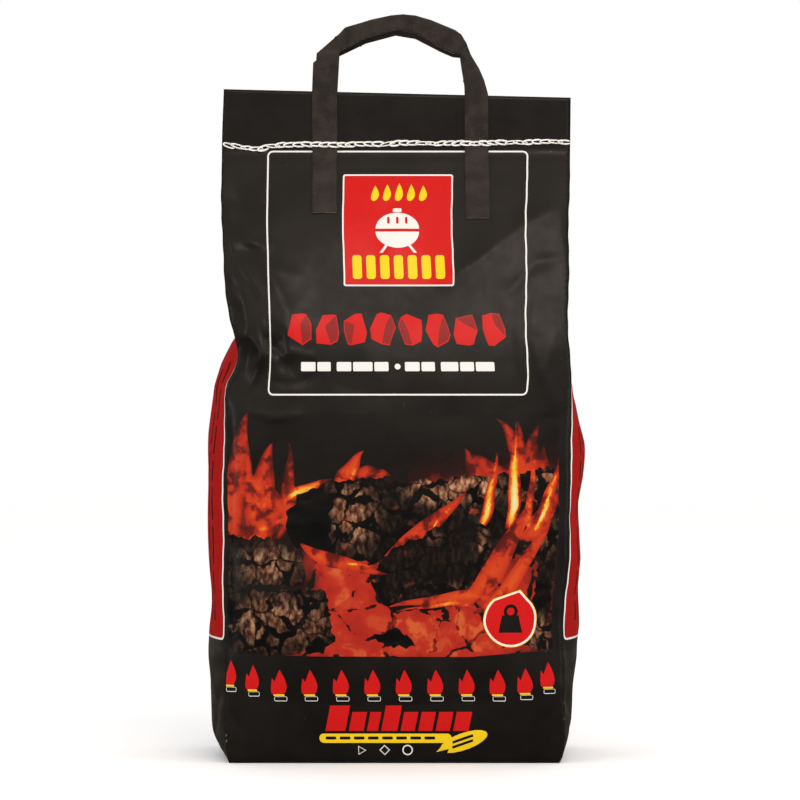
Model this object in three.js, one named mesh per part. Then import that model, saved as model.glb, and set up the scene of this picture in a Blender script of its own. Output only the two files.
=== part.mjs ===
// A sewn paper sack of lump charcoal: two gusseted paper plies with a block bottom, two flat
// paper handles, a mouth closed by a two-thread chain stitch, and the lumps inside.
// Millimetres, +Z up. The origin is the middle of the underside, and the printed front faces -Y.

import * as THREE from 'three';
import { ConvexGeometry } from 'three/addons/geometries/ConvexGeometry.js';

// ---- driving dimensions ----

const MOUTH_HEIGHT = 529; // underside to the cut edge of the mouth
const MOUTH_HALF_WIDTH = 140; // half the flat width of the front panel
const BAND_HEIGHT = 485; // where the flattened mouth begins
const SEAM_HEIGHT = 490; // the row of stitches
const GUSSET_HALF = 65; // width of one gusset half, from the panel edge to the middle fold

const PLY = 0.3; // thickness of one ply with its air
const GAP = 0.3; // clearance between neighbouring pieces
const WALL = 2 * PLY + GAP; // both plies together
const EDGE = 2 * WALL + GAP; // a flattened panel edge: panel, hollow and gusset half
const MOUTH_HALF_DEPTH = EDGE + GAP / 2;

const PANEL_STEPS = 10; // segments across a panel
const GUSSET_STEPS = 3; // segments across a gusset half
const FOLD_HALF = 2; // half the rounding of a gusset's middle fold where the sack is full
const FOLD_DEPTH = 60; // half the depth at which that rounding is reached

const HANDLE_THICKNESS = 1.1;
const HANDLE_WIDTH = 20; // of the legs
const ARCH_WIDTH = 15; // of the arch, which leans and so looks narrower
const LEFT_LEG = { x: -57, end: 433, lean: 0 };
const RIGHT_LEG = { x: 64.7, end: 429, lean: -5 };
const SHOULDER = 24; // height of a leg's top above the mouth
const ARCH = [[-42, 571], [-21, 581], [3, 586.3], [25, 582], [45, 571]]; // its middle, as [x, z]

const LOOPER = { height: 3.2, thickness: 1.6 }; // the chain on the front
const NEEDLE = { height: 1.2, thickness: 1.0 }; // the straight stitches on the back
const THREAD_SIDES = 8;
const THREAD_MARGIN = 1.5; // from a thread's end to the sack's side
const LEG_CLEAR = HANDLE_WIDTH / 2 + 1; // from a leg's middle to where a thread is fully lifted
const LEG_RAMP = 3; // over which a thread rises beside a leg

const LUMP_LAYERS = 6;
const LUMP_LAYER_HEIGHT = 51;
const LUMP_COLUMNS = 3;
const LUMP_ROWS = 2;
const LUMP_SPACING = { x: 92, y: 62 };
const LUMP_SCATTER = { x: 30, y: 16, z: 20 };
const LUMP_OVERHANG = 8; // how far a lump may reach out of its layer
const LUMP_FLOOR = 3;
const CHIPS = 4; // flats knocked off each lump
const CHIP_DEPTH = { least: 27, spread: 8 }; // from a lump's middle to such a flat
const LUMP_CLEARANCE = 5 * GAP; // between a lump and the plies
const LUMP_SHRINK = 0.86; // leaves the air between loosely heaped lumps
const HEAP = { xs: [-48, 2, 50], z: 339, scatter: 9, top: 380, reach: 80 }; // the last few lumps
const SEED = 20;
const TOLERANCE = 1e-6; // for telling whether planes meet and corners lie on them

// ---- the form of the filled sack ----

// At each height: half the width and half the depth over the panel edges, how far the middle
// fold of a gusset stands from the centre, and how far the panels are crowned. Above the filled
// part the gussets tuck inwards, and the fold's reach follows from the width of a gusset half.
const FORM = [
  { z: 0, halfWidth: 131, halfDepth: 58, reach: 133, crown: 0 },
  { z: 3, halfWidth: 133, halfDepth: 60, reach: 139, crown: 1 },
  { z: 28, halfWidth: 134, halfDepth: 62, reach: 147, crown: 5 },
  { z: 80, halfWidth: 134.5, halfDepth: 62.5, reach: 150.5, crown: 9 },
  { z: 160, halfWidth: 134.5, halfDepth: 62, reach: 151, crown: 11 },
  { z: 240, halfWidth: 134, halfDepth: 61, reach: 150.5, crown: 10 },
  { z: 286, halfWidth: 133.5, halfDepth: 58.5, reach: 147, crown: 8 },
  { z: 316, halfWidth: 131, halfDepth: 55, reach: 139, crown: 6 },
  { z: 338, halfWidth: 129.5, halfDepth: 51, reach: 108, crown: 5 },
  { z: 358, halfWidth: 129.5, halfDepth: 46, crown: 4 },
  { z: 402, halfWidth: 132, halfDepth: 33, crown: 3 },
  { z: 446, halfWidth: 136, halfDepth: 17, crown: 2 },
  { z: 473, halfWidth: 139, halfDepth: 6, crown: 1 },
  { z: BAND_HEIGHT, halfWidth: 139.5, halfDepth: MOUTH_HALF_DEPTH, crown: 0 },
  { z: MOUTH_HEIGHT, halfWidth: MOUTH_HALF_WIDTH, halfDepth: MOUTH_HALF_DEPTH, crown: 0 },
].map((level) => ({ ...level, reach: level.reach ?? tuckedReach(level) }));

function tuckedReach({ halfWidth, halfDepth }) {
  return halfWidth - Math.sqrt(GUSSET_HALF ** 2 - halfDepth ** 2);
}

/** The sack's form at a height between two of its levels. */
function formAt(z) {
  const upper = Math.max(1, FORM.findIndex((level) => level.z >= z));
  const [low, high] = [FORM[upper - 1], FORM[upper]];
  const share = (z - low.z) / (high.z - low.z);
  const mix = (key) => low[key] + share * (high[key] - low[key]);
  return {
    halfWidth: mix('halfWidth'),
    halfDepth: mix('halfDepth'),
    reach: mix('reach'),
    crown: mix('crown'),
  };
}

/** How far the front or back panel stands from the middle plane at a place on it. */
function panelDepth(x, z) {
  const { halfWidth, halfDepth, crown } = formAt(z);
  return halfDepth + crown * (1 - (x / halfWidth) ** 2);
}

/** The outline of the sack at one level, anticlockwise seen from above. */
function outline({ halfWidth, halfDepth, reach, crown }) {
  const fold = THREE.MathUtils.clamp((FOLD_HALF * halfDepth) / FOLD_DEPTH, GAP / 2, FOLD_HALF);
  const half = [];
  for (let i = 0; i <= PANEL_STEPS; i++) {
    const across = (2 * i) / PANEL_STEPS - 1;
    half.push([across * halfWidth, -halfDepth - crown * (1 - across ** 2)]);
  }
  for (let i = 0; i <= GUSSET_STEPS; i++) {
    const along = i / GUSSET_STEPS;
    const x = halfWidth + along * (reach - halfWidth);
    half.push([x, -(halfDepth - EDGE) + along * (halfDepth - EDGE - fold)]);
  }
  for (let i = GUSSET_STEPS; i >= 0; i--) {
    const [x, y] = half[PANEL_STEPS + 1 + i];
    half.push([x, -y]);
  }
  const backPanel = half.slice(0, PANEL_STEPS + 1).map(([x, y]) => [-x, -y]);
  const leftGusset = half.slice(PANEL_STEPS + 1).map(([x, y]) => [-x, -y]);
  return [...half, ...backPanel, ...leftGusset].map(([x, y]) => new THREE.Vector2(x, y));
}

/** An outline moved inwards by one distance along all its sides. */
function inset(points, distance) {
  const count = points.length;
  const inward = (from, to) => {
    const side = to.clone().sub(from).normalize();
    return new THREE.Vector2(-side.y, side.x);
  };
  return points.map((point, i) => {
    const before = inward(points[(i + count - 1) % count], point);
    const after = inward(point, points[(i + 1) % count]);
    const mitre = before.clone().add(after).multiplyScalar(1 / (1 + before.dot(after)));
    return point.clone().addScaledVector(mitre, distance);
  });
}

/** One ring of points for each level, inset from the sack's outside. */
function rings(distance) {
  return FORM.map((level, i) => {
    const z = i === 0 ? distance : level.z;
    return inset(outline(level), distance).map(({ x, y }) => new THREE.Vector3(x, y, z));
  });
}

// ---- meshes from rings ----

class Faces {
  constructor() {
    this.corners = [];
  }

  triangle(...points) {
    for (const { x, y, z } of points) this.corners.push(x, y, z);
  }

  /** The side between two rings that turn anticlockwise from above, facing out or turned in. */
  band(lower, upper, turned = false) {
    const put = (a, b, c) => (turned ? this.triangle(a, c, b) : this.triangle(a, b, c));
    lower.forEach((point, i) => {
      const next = (i + 1) % lower.length;
      put(point, lower[next], upper[next]);
      put(point, upper[next], upper[i]);
    });
  }

  /** A lid on a ring, facing up the way that the ring turns. */
  lid(ring) {
    const middle = new THREE.Vector3();
    ring.forEach((point) => middle.addScaledVector(point, 1 / ring.length));
    ring.forEach((point, i) => this.triangle(middle, point, ring[(i + 1) % ring.length]));
  }

  geometry() {
    const geometry = new THREE.BufferGeometry();
    geometry.setAttribute('position', new THREE.Float32BufferAttribute(this.corners, 3));
    geometry.computeVertexNormals();
    return geometry;
  }
}

/** A solid through a row of rings, with a lid on each end. */
function loft(row) {
  const faces = new Faces();
  for (let i = 1; i < row.length; i++) faces.band(row[i - 1], row[i]);
  faces.lid([...row[0]].reverse());
  faces.lid(row[row.length - 1]);
  return faces.geometry();
}

/** A bag of one ply, open at the mouth: its outside is inset from the sack's by a distance. */
function ply(distance) {
  const outside = rings(distance);
  const inside = rings(distance + PLY);
  const faces = new Faces();
  for (let i = 1; i < FORM.length; i++) {
    faces.band(outside[i - 1], outside[i]);
    faces.band(inside[i - 1], inside[i], true);
  }
  faces.lid([...outside[0]].reverse());
  faces.lid(inside[0]);
  faces.band(outside[FORM.length - 1], inside[FORM.length - 1]);
  return faces.geometry();
}

// ---- handles ----

/** The way up one leg, over the arch and down the other, as [x, z, width] along the strip. */
function handleStations() {
  const leg = ({ x, end, lean }) => {
    const bends = FORM.map((level) => level.z).filter((z) => z > end);
    const heights = [end, ...bends].map((z) => [x, z, HANDLE_WIDTH]);
    return [...heights, [x + lean, MOUTH_HEIGHT + SHOULDER, HANDLE_WIDTH]];
  };
  const arch = ARCH.map(([x, z]) => [x, z, ARCH_WIDTH]);
  return [...leg(LEFT_LEG), ...arch, ...leg(RIGHT_LEG).reverse()];
}

/** A flat strip on the outside of a panel: side is -1 at the front and 1 at the back. */
function handle(side) {
  const stations = handleStations();
  const row = stations.map(([x, z, width], i) => {
    const [beforeX, beforeZ] = stations[Math.max(0, i - 1)];
    const [afterX, afterZ] = stations[Math.min(stations.length - 1, i + 1)];
    const along = new THREE.Vector2(afterX - beforeX, afterZ - beforeZ).normalize();
    const across = new THREE.Vector2(-along.y, along.x).multiplyScalar(width / 2);
    const rest = panelDepth(x, Math.min(z, MOUTH_HEIGHT)) + GAP;
    const corner = (turn, depth) =>
      new THREE.Vector3(x + turn * across.x, side * (rest + depth), z + turn * across.y);
    const ring = [
      corner(1, 0),
      corner(-1, 0),
      corner(-1, HANDLE_THICKNESS),
      corner(1, HANDLE_THICKNESS),
    ];
    return side < 0 ? ring.reverse() : ring;
  });
  return loft(row);
}

// ---- threads ----

/** The stops of a thread along x, with how far the handle's legs lift it off the panel. */
function threadStops() {
  const lift = HANDLE_THICKNESS + GAP;
  const overLeg = ({ x }) => [
    { x: x - LEG_CLEAR - LEG_RAMP, lift: 0 },
    { x: x - LEG_CLEAR, lift },
    { x: x + LEG_CLEAR, lift },
    { x: x + LEG_CLEAR + LEG_RAMP, lift: 0 },
  ];
  const end = MOUTH_HALF_WIDTH - THREAD_MARGIN;
  return [{ x: -end, lift: 0 }, ...overLeg(LEFT_LEG), ...overLeg(RIGHT_LEG), { x: end, lift: 0 }];
}

/** A flattened thread along the seam, outside the panel and over the handle's legs. */
function thread(side, { height, thickness }) {
  const row = threadStops().map(({ x, lift }) => {
    const y = side * (MOUTH_HALF_DEPTH + GAP + lift + thickness / 2);
    return Array.from({ length: THREAD_SIDES }, (_, i) => {
      const angle = (2 * Math.PI * i) / THREAD_SIDES;
      const up = (Math.sin(angle) * height) / 2;
      return new THREE.Vector3(x, y + (Math.cos(angle) * thickness) / 2, SEAM_HEIGHT + up);
    });
  });
  return loft(row);
}

// ---- the charcoal ----

/** A repeatable stream of numbers from 0 to 1. */
function randomStream(seed) {
  let state = seed;
  return () => {
    state = (state + 0x6d2b79f5) | 0;
    let t = Math.imul(state ^ (state >>> 15), 1 | state);
    t = (t + Math.imul(t ^ (t >>> 7), 61 | t)) ^ t;
    return ((t ^ (t >>> 14)) >>> 0) / 4294967296;
  };
}

/** The middle of each lump, with the heights that its room is measured at and its top. */
function lumpPlaces(random) {
  const around = (size) => (random() - 0.5) * size;
  const spread = (index, count, spacing) => (index - (count - 1) / 2) * spacing;
  const places = [];
  for (let layer = 0; layer < LUMP_LAYERS; layer++) {
    const low = LUMP_FLOOR + layer * LUMP_LAYER_HEIGHT;
    const top = low + LUMP_LAYER_HEIGHT + LUMP_OVERHANG;
    for (let row = 0; row < LUMP_ROWS; row++) {
      for (let column = 0; column < LUMP_COLUMNS; column++) {
        const middle = new THREE.Vector3(
          spread(column, LUMP_COLUMNS, LUMP_SPACING.x) + around(LUMP_SCATTER.x),
          spread(row, LUMP_ROWS, LUMP_SPACING.y) + around(LUMP_SCATTER.y),
          low + LUMP_LAYER_HEIGHT / 2 + around(LUMP_SCATTER.z),
        );
        places.push({ middle, rooms: [Math.max(low - LUMP_OVERHANG, LUMP_FLOOR), top], top });
      }
    }
  }
  for (const x of HEAP.xs) {
    const shift = [around(HEAP.scatter), around(HEAP.scatter), around(HEAP.scatter)];
    const middle = new THREE.Vector3(x, 0, HEAP.z).add(new THREE.Vector3(...shift));
    places.push({ middle, rooms: [HEAP.top], top: HEAP.top, reach: HEAP.reach });
  }
  return places;
}

/** The walls of the room that a lump may fill, as planes facing out. */
function wallPlanes({ rooms, reach }) {
  const forms = rooms.map(formAt);
  const least = (key) => Math.min(...forms.map((form) => form[key]));
  const [halfWidth, halfDepth] = [least('halfWidth'), least('halfDepth')];
  const fold = reach ?? least('reach');
  const crowned = halfDepth + least('crown');
  const planes = [];
  for (const sx of [-1, 1]) {
    if (reach) planes.push(new THREE.Plane(new THREE.Vector3(sx, 0, 0), -fold));
    for (const sy of [-1, 1]) {
      const corner = new THREE.Vector2(halfWidth, halfDepth);
      const sides = [[corner, new THREE.Vector2(0, crowned)]];
      if (!reach) sides.push([new THREE.Vector2(fold, 0), corner]);
      for (const [from, to] of sides) {
        const side = to.clone().sub(from).normalize();
        const normal = new THREE.Vector3(side.y * sx, -side.x * sy, 0);
        const distance = side.y * from.x - side.x * from.y - WALL - LUMP_CLEARANCE;
        planes.push(new THREE.Plane(normal, -distance));
      }
    }
  }
  return planes;
}

/** The corners that a set of planes facing out leaves between them. */
function cornersOf(planes) {
  const corners = [];
  const cross = new THREE.Vector3();
  for (let i = 0; i < planes.length; i++) {
    for (let j = i + 1; j < planes.length; j++) {
      for (let k = j + 1; k < planes.length; k++) {
        const [a, b, c] = [planes[i], planes[j], planes[k]];
        const span = a.normal.dot(cross.crossVectors(b.normal, c.normal));
        if (Math.abs(span) < TOLERANCE) continue;
        const point = cross.clone().multiplyScalar(-a.constant);
        point.addScaledVector(new THREE.Vector3().crossVectors(c.normal, a.normal), -b.constant);
        point.addScaledVector(new THREE.Vector3().crossVectors(a.normal, b.normal), -c.constant);
        point.divideScalar(span);
        if (planes.every((plane) => plane.distanceToPoint(point) < TOLERANCE)) corners.push(point);
      }
    }
  }
  return corners;
}

/** A lump fills the room nearest to its middle, chipped at random and drawn in from the rest. */
function lump(place, places, random) {
  const planes = wallPlanes(place);
  planes.push(new THREE.Plane(new THREE.Vector3(0, 0, -1), LUMP_FLOOR));
  planes.push(new THREE.Plane(new THREE.Vector3(0, 0, 1), -place.top));
  for (const other of places) {
    if (other === place) continue;
    const normal = other.middle.clone().sub(place.middle).normalize();
    const halfway = other.middle.clone().add(place.middle).multiplyScalar(0.5);
    planes.push(new THREE.Plane().setFromNormalAndCoplanarPoint(normal, halfway));
  }
  for (let i = 0; i < CHIPS; i++) {
    const normal = new THREE.Vector3(random() - 0.5, random() - 0.5, random() - 0.5).normalize();
    const depth = CHIP_DEPTH.least + CHIP_DEPTH.spread * random();
    const foot = place.middle.clone().addScaledVector(normal, depth);
    planes.push(new THREE.Plane().setFromNormalAndCoplanarPoint(normal, foot));
  }
  const corners = cornersOf(planes).map((corner) =>
    corner.sub(place.middle).multiplyScalar(LUMP_SHRINK).add(place.middle));
  return new ConvexGeometry(corners);
}

// ---- assembly ----

const finishes = {
  printedPaper: { color: 0x2a2724, roughness: 0.45, metalness: 0 },
  kraftPaper: { color: 0xa27c52, roughness: 0.85, metalness: 0 },
  handlePaper: { color: 0x3e3733, roughness: 0.55, metalness: 0 },
  thread: { color: 0xece9e2, roughness: 0.8, metalness: 0 },
  charcoal: { color: 0x191817, roughness: 0.9, metalness: 0 },
};

const group = new THREE.Group();

function add(name, geometry, finish) {
  const mesh = new THREE.Mesh(geometry, new THREE.MeshStandardMaterial(finish));
  mesh.name = name;
  group.add(mesh);
}

add('outer_ply', ply(0), finishes.printedPaper);
add('inner_ply', ply(PLY + GAP), finishes.kraftPaper);
add('handle_front', handle(-1), finishes.handlePaper);
add('handle_back', handle(1), finishes.handlePaper);
add('seam_looper_thread', thread(-1, LOOPER), finishes.thread);
add('seam_needle_thread', thread(1, NEEDLE), finishes.thread);

const random = randomStream(SEED);
const places = lumpPlaces(random);
places.forEach((place, i) => {
  const name = `lump_${String(i + 1).padStart(2, '0')}`;
  add(name, lump(place, places, random), finishes.charcoal);
});

export default group;
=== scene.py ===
"""A sewn paper sack of lump charcoal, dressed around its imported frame.

The sack is drawn flat, as its paper was printed, and then folded into shape: every panel is a
flat sheet of triangles in which the print is inlaid, and one form gives each sheet its place.
Lengths in the classes are in millimetres and become metres where a mesh is made.
"""

from __future__ import annotations

import logging
import math
from dataclasses import dataclass, field
from enum import Enum
from typing import Callable, Sequence

import bmesh
import bpy
import numpy as np
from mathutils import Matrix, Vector, noise
from mathutils.geometry import delaunay_2d_cdt

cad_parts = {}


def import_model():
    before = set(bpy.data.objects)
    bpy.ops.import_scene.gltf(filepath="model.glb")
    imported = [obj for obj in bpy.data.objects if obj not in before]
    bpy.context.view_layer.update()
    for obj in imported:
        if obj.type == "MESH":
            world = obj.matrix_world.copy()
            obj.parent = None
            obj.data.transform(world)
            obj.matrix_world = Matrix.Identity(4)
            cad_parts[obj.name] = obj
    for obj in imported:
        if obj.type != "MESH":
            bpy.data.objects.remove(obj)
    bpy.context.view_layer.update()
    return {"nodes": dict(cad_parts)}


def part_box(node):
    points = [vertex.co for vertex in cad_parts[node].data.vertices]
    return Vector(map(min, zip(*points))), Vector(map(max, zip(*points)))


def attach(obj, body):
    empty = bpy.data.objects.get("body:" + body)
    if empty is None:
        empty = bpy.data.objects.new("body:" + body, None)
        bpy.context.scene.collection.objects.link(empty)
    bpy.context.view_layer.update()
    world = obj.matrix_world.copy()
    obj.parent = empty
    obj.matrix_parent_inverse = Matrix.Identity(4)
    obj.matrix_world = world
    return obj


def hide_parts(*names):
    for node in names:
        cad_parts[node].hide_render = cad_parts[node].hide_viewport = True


log = logging.getLogger("charcoal_sack")

MM = 0.001
Point = tuple[float, float]
Box = tuple[float, float, float, float]
Tree = bpy.types.NodeTree
Socket = bpy.types.NodeSocket
Material = bpy.types.Material
Piece = bpy.types.Object


# ---------------------------------------------------------------- colours and nodes


def linear(code: str) -> tuple[float, float, float, float]:
    """Turns an sRGB hex colour into linear light, with an alpha of 1."""
    parts = [int(code[i : i + 2], 16) / 255 for i in (1, 3, 5)]
    low, high = 0.04045, 2.4
    light = [c / 12.92 if c <= low else ((c + 0.055) / 1.055) ** high for c in parts]
    return (light[0], light[1], light[2], 1.0)


class Kind(Enum):
    """The nodes in use: type, inputs in the order they are given, output read, fixed settings."""

    PLACE = ("ShaderNodeTexCoord", (), "Object")
    STRETCH = ("ShaderNodeMapping", ("Vector", "Scale"))
    CLOUD = ("ShaderNodeTexNoise", ("Vector", "Scale", "Detail"))
    CELLS = ("ShaderNodeTexVoronoi", ("Vector", "Scale"), 0, {"feature": "DISTANCE_TO_EDGE"})
    CHANNELS = ("ShaderNodeSeparateColor", (0,))
    AXES = ("ShaderNodeSeparateXYZ", (0,))
    RAMP = ("ShaderNodeValToRGB", (0,))
    SPREAD = ("ShaderNodeMapRange", (0, 1, 2, 3, 4), 0, {"interpolation_type": "SMOOTHSTEP"})
    MATHS = ("ShaderNodeMath", (0, 1), 0, {"use_clamp": True, "operation": "MULTIPLY"})
    SHIFT = ("ShaderNodeVectorMath", (0, 1), 0, {"operation": "ADD"})
    LENGTHEN = ("ShaderNodeVectorMath", (0, "Scale"), 0, {"operation": "SCALE"})
    MIX = ("ShaderNodeMix", (0, 6, 7), 2, {"data_type": "RGBA", "clamp_result": True})
    STORED = ("ShaderNodeAttribute", (), "Fac")
    RELIEF = ("ShaderNodeBump", ("Strength", "Distance", "Height", "Normal"))
    RAY = ("ShaderNodeLightPath", (), "Is Glossy Ray")
    CURVE = ("GeometryNodeMeshToCurve", (0,))
    SPACED = ("GeometryNodeResampleCurve", ("Curve", "Length"), 0, {"mode": "LENGTH"})
    CIRCLE = ("GeometryNodeCurvePrimitiveCircle", ("Resolution", "Radius"))
    ARC = ("GeometryNodeCurveQuadraticBezier", ("Resolution", "Start", "Middle", "End"))
    VECTOR = ("ShaderNodeCombineXYZ", (0, 1, 2))
    SHAPED = ("GeometryNodeTransform", ("Geometry", "Scale", "Rotation"))
    TUBE = ("GeometryNodeCurveToMesh", (0, 1, "Fill Caps"))
    TANGENT = ("GeometryNodeInputTangent",)
    ALIGNED = ("FunctionNodeAlignRotationToVector", ("Vector", "Rotation"))
    RANDOM = ("FunctionNodeRandomValue", (0, 1, "Seed"), 0, {"data_type": "FLOAT_VECTOR"})
    EULER = ("FunctionNodeEulerToRotation", (0,))
    TURNED = ("FunctionNodeRotateRotation", (0, 1), 0, {"rotation_space": "LOCAL"})
    PLACED = ("GeometryNodeInstanceOnPoints", ("Points", "Instance", "Rotation", "Scale"))
    REALIZED = ("GeometryNodeRealizeInstances", (0,))
    DRESSED = ("GeometryNodeSetMaterial", ("Geometry", "Material"))

    def __init__(
        self, node: str, takes: tuple = (), gives: int | str = 0, keeps: dict | None = None
    ) -> None:
        """Names the parts of the value."""
        self.node, self.takes, self.gives, self.keeps = node, takes, gives, keeps or {}


def feed(tree: Tree, node: bpy.types.Node, inputs: dict) -> None:
    """Gives values or sockets to a node's inputs, by name or number."""
    for key, value in inputs.items():
        if isinstance(value, Socket):
            tree.links.new(value, node.inputs[key])
        else:
            node.inputs[key].default_value = value


def add_node(
    tree: Tree,
    kind: Kind,
    *values: object,
    out: int | str | None = None,
    stops: Sequence[tuple[float, str]] = (),
    **settings: object,
) -> Socket:
    """Adds a node with its settings and links.

    Args:
        tree: the node tree that takes the node.
        kind: which node.
        *values: values or sockets for its inputs, in the kind's order.
        out: the output to give, if not the kind's own.
        stops: positions from 0 to 1 with hex colours, for a ramp.
        **settings: attributes of the node itself.

    Returns:
        An output of the new node.
    """
    node = tree.nodes.new(kind.node)
    for name, value in {**kind.keeps, **settings}.items():
        setattr(node, name, value)
    feed(tree, node, dict(zip(kind.takes, values)))
    if stops:
        elements = node.color_ramp.elements
        for element, (position, code) in ((elements[0], stops[0]), (elements[1], stops[-1])):
            element.position = position
            element.color = linear(code)
        for position, code in stops[1:-1]:
            elements.new(position).color = linear(code)
    return node.outputs[kind.gives if out is None else out]


def new_material(name: str) -> tuple[Material, Tree, bpy.types.Node]:
    """Makes a material with a Principled shader.

    Args:
        name: the finish, in a maker's words.

    Returns:
        The material, its tree and its shader node.
    """
    material = bpy.data.materials.new(name)
    material.use_nodes = True
    tree = material.node_tree
    return material, tree, tree.nodes["Principled BSDF"]


def object_mm(tree: Tree, scale: Sequence[float] = (1, 1, 1)) -> Socket:
    """Gives the piece's own coordinates in millimetres, with each axis stretched by a scale."""
    return add_node(tree, Kind.STRETCH, add_node(tree, Kind.PLACE), [s / MM for s in scale])


# ---------------------------------------------------------------- finishes


class Field(str, Enum):
    """Values that the sack's mesh carries at its points."""

    WEAR = "wear"
    EMBER = "ember"
    LIGHT = "bark_light"
    HEAT = "fire_heat"
    GAP = "gap"


@dataclass(frozen=True)
class VarnishedPaper:
    """Printed sack paper under a thin satin varnish: ink lies in it, so all inks share its gloss."""

    gloss: float = 0.13
    roughness: float = 0.4
    varnish: float = 0.1
    varnish_roughness: float = 0.24
    fibre: float = 0.9
    cockle: float = 9.0
    bare: str = "#c9bba6"
    scuffed: str = "#5a5249"

    def surface(self, tree: Tree, shader: bpy.types.Node) -> None:
        """Sets the gloss and the fine relief that every printed area has."""
        place = object_mm(tree)
        fibres = add_node(tree, Kind.CLOUD, place, 1 / self.fibre, 4.0)
        cockles = add_node(tree, Kind.CLOUD, place, 1 / self.cockle, 2.0)
        low, high = self.roughness - 0.05, self.roughness + 0.07
        grain = add_node(tree, Kind.RELIEF, 0.12, 0.1 * MM, fibres)
        feed(tree, shader, {
            "Specular IOR Level": self.gloss,
            "Coat Weight": self.varnish,
            "Coat Roughness": self.varnish_roughness,
            "Roughness": add_node(tree, Kind.SPREAD, cockles, 0.3, 0.7, low, high),
            "Normal": add_node(tree, Kind.RELIEF, 0.3, 0.5 * MM, cockles, grain),
        })

    def ink(self, name: str, code: str) -> Material:
        """Makes a solid ink: one flat colour, as a printing plate lays it down."""
        material, tree, shader = new_material(name)
        shader.inputs["Base Color"].default_value = linear(code)
        self.surface(tree, shader)
        return material

    def ground(self, name: str, code: str, deep: str) -> Material:
        """Makes the large ground colour, with its wear: bare paper at nicks, dull scuffs between."""
        material, tree, shader = new_material(name)
        place = object_mm(tree)
        cloud = add_node(tree, Kind.CLOUD, place, 1 / 40.0, 4.0)
        drawn = add_node(tree, Kind.CLOUD, object_mm(tree, (1, 1, 0.12)), 1 / 2.4, 5.0)
        speck = add_node(tree, Kind.CLOUD, place, 1 / 3.2, 5.0)
        wear = add_node(tree, Kind.STORED, attribute_name=Field.WEAR.value)
        shade = add_node(tree, Kind.SPREAD, cloud, 0.35, 0.65)
        colour = add_node(tree, Kind.MIX, shade, linear(code), linear(deep))
        streaks = add_node(tree, Kind.SPREAD, drawn, 0.66, 0.8)
        patches = add_node(tree, Kind.SPREAD, cloud, 0.5, 0.62, 0.0, 0.32)
        scuffs = add_node(tree, Kind.MATHS, streaks, patches)
        colour = add_node(tree, Kind.MIX, scuffs, colour, linear(self.scuffed))
        worn = add_node(tree, Kind.MATHS, wear, add_node(tree, Kind.SPREAD, speck, 0.52, 0.66))
        nick = add_node(tree, Kind.SPREAD, worn, 0.42, 0.65, 0.0, 0.22)
        colour = add_node(tree, Kind.MIX, nick, colour, linear(self.bare))
        feed(tree, shader, {"Base Color": colour})
        self.surface(tree, shader)
        return material


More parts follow.
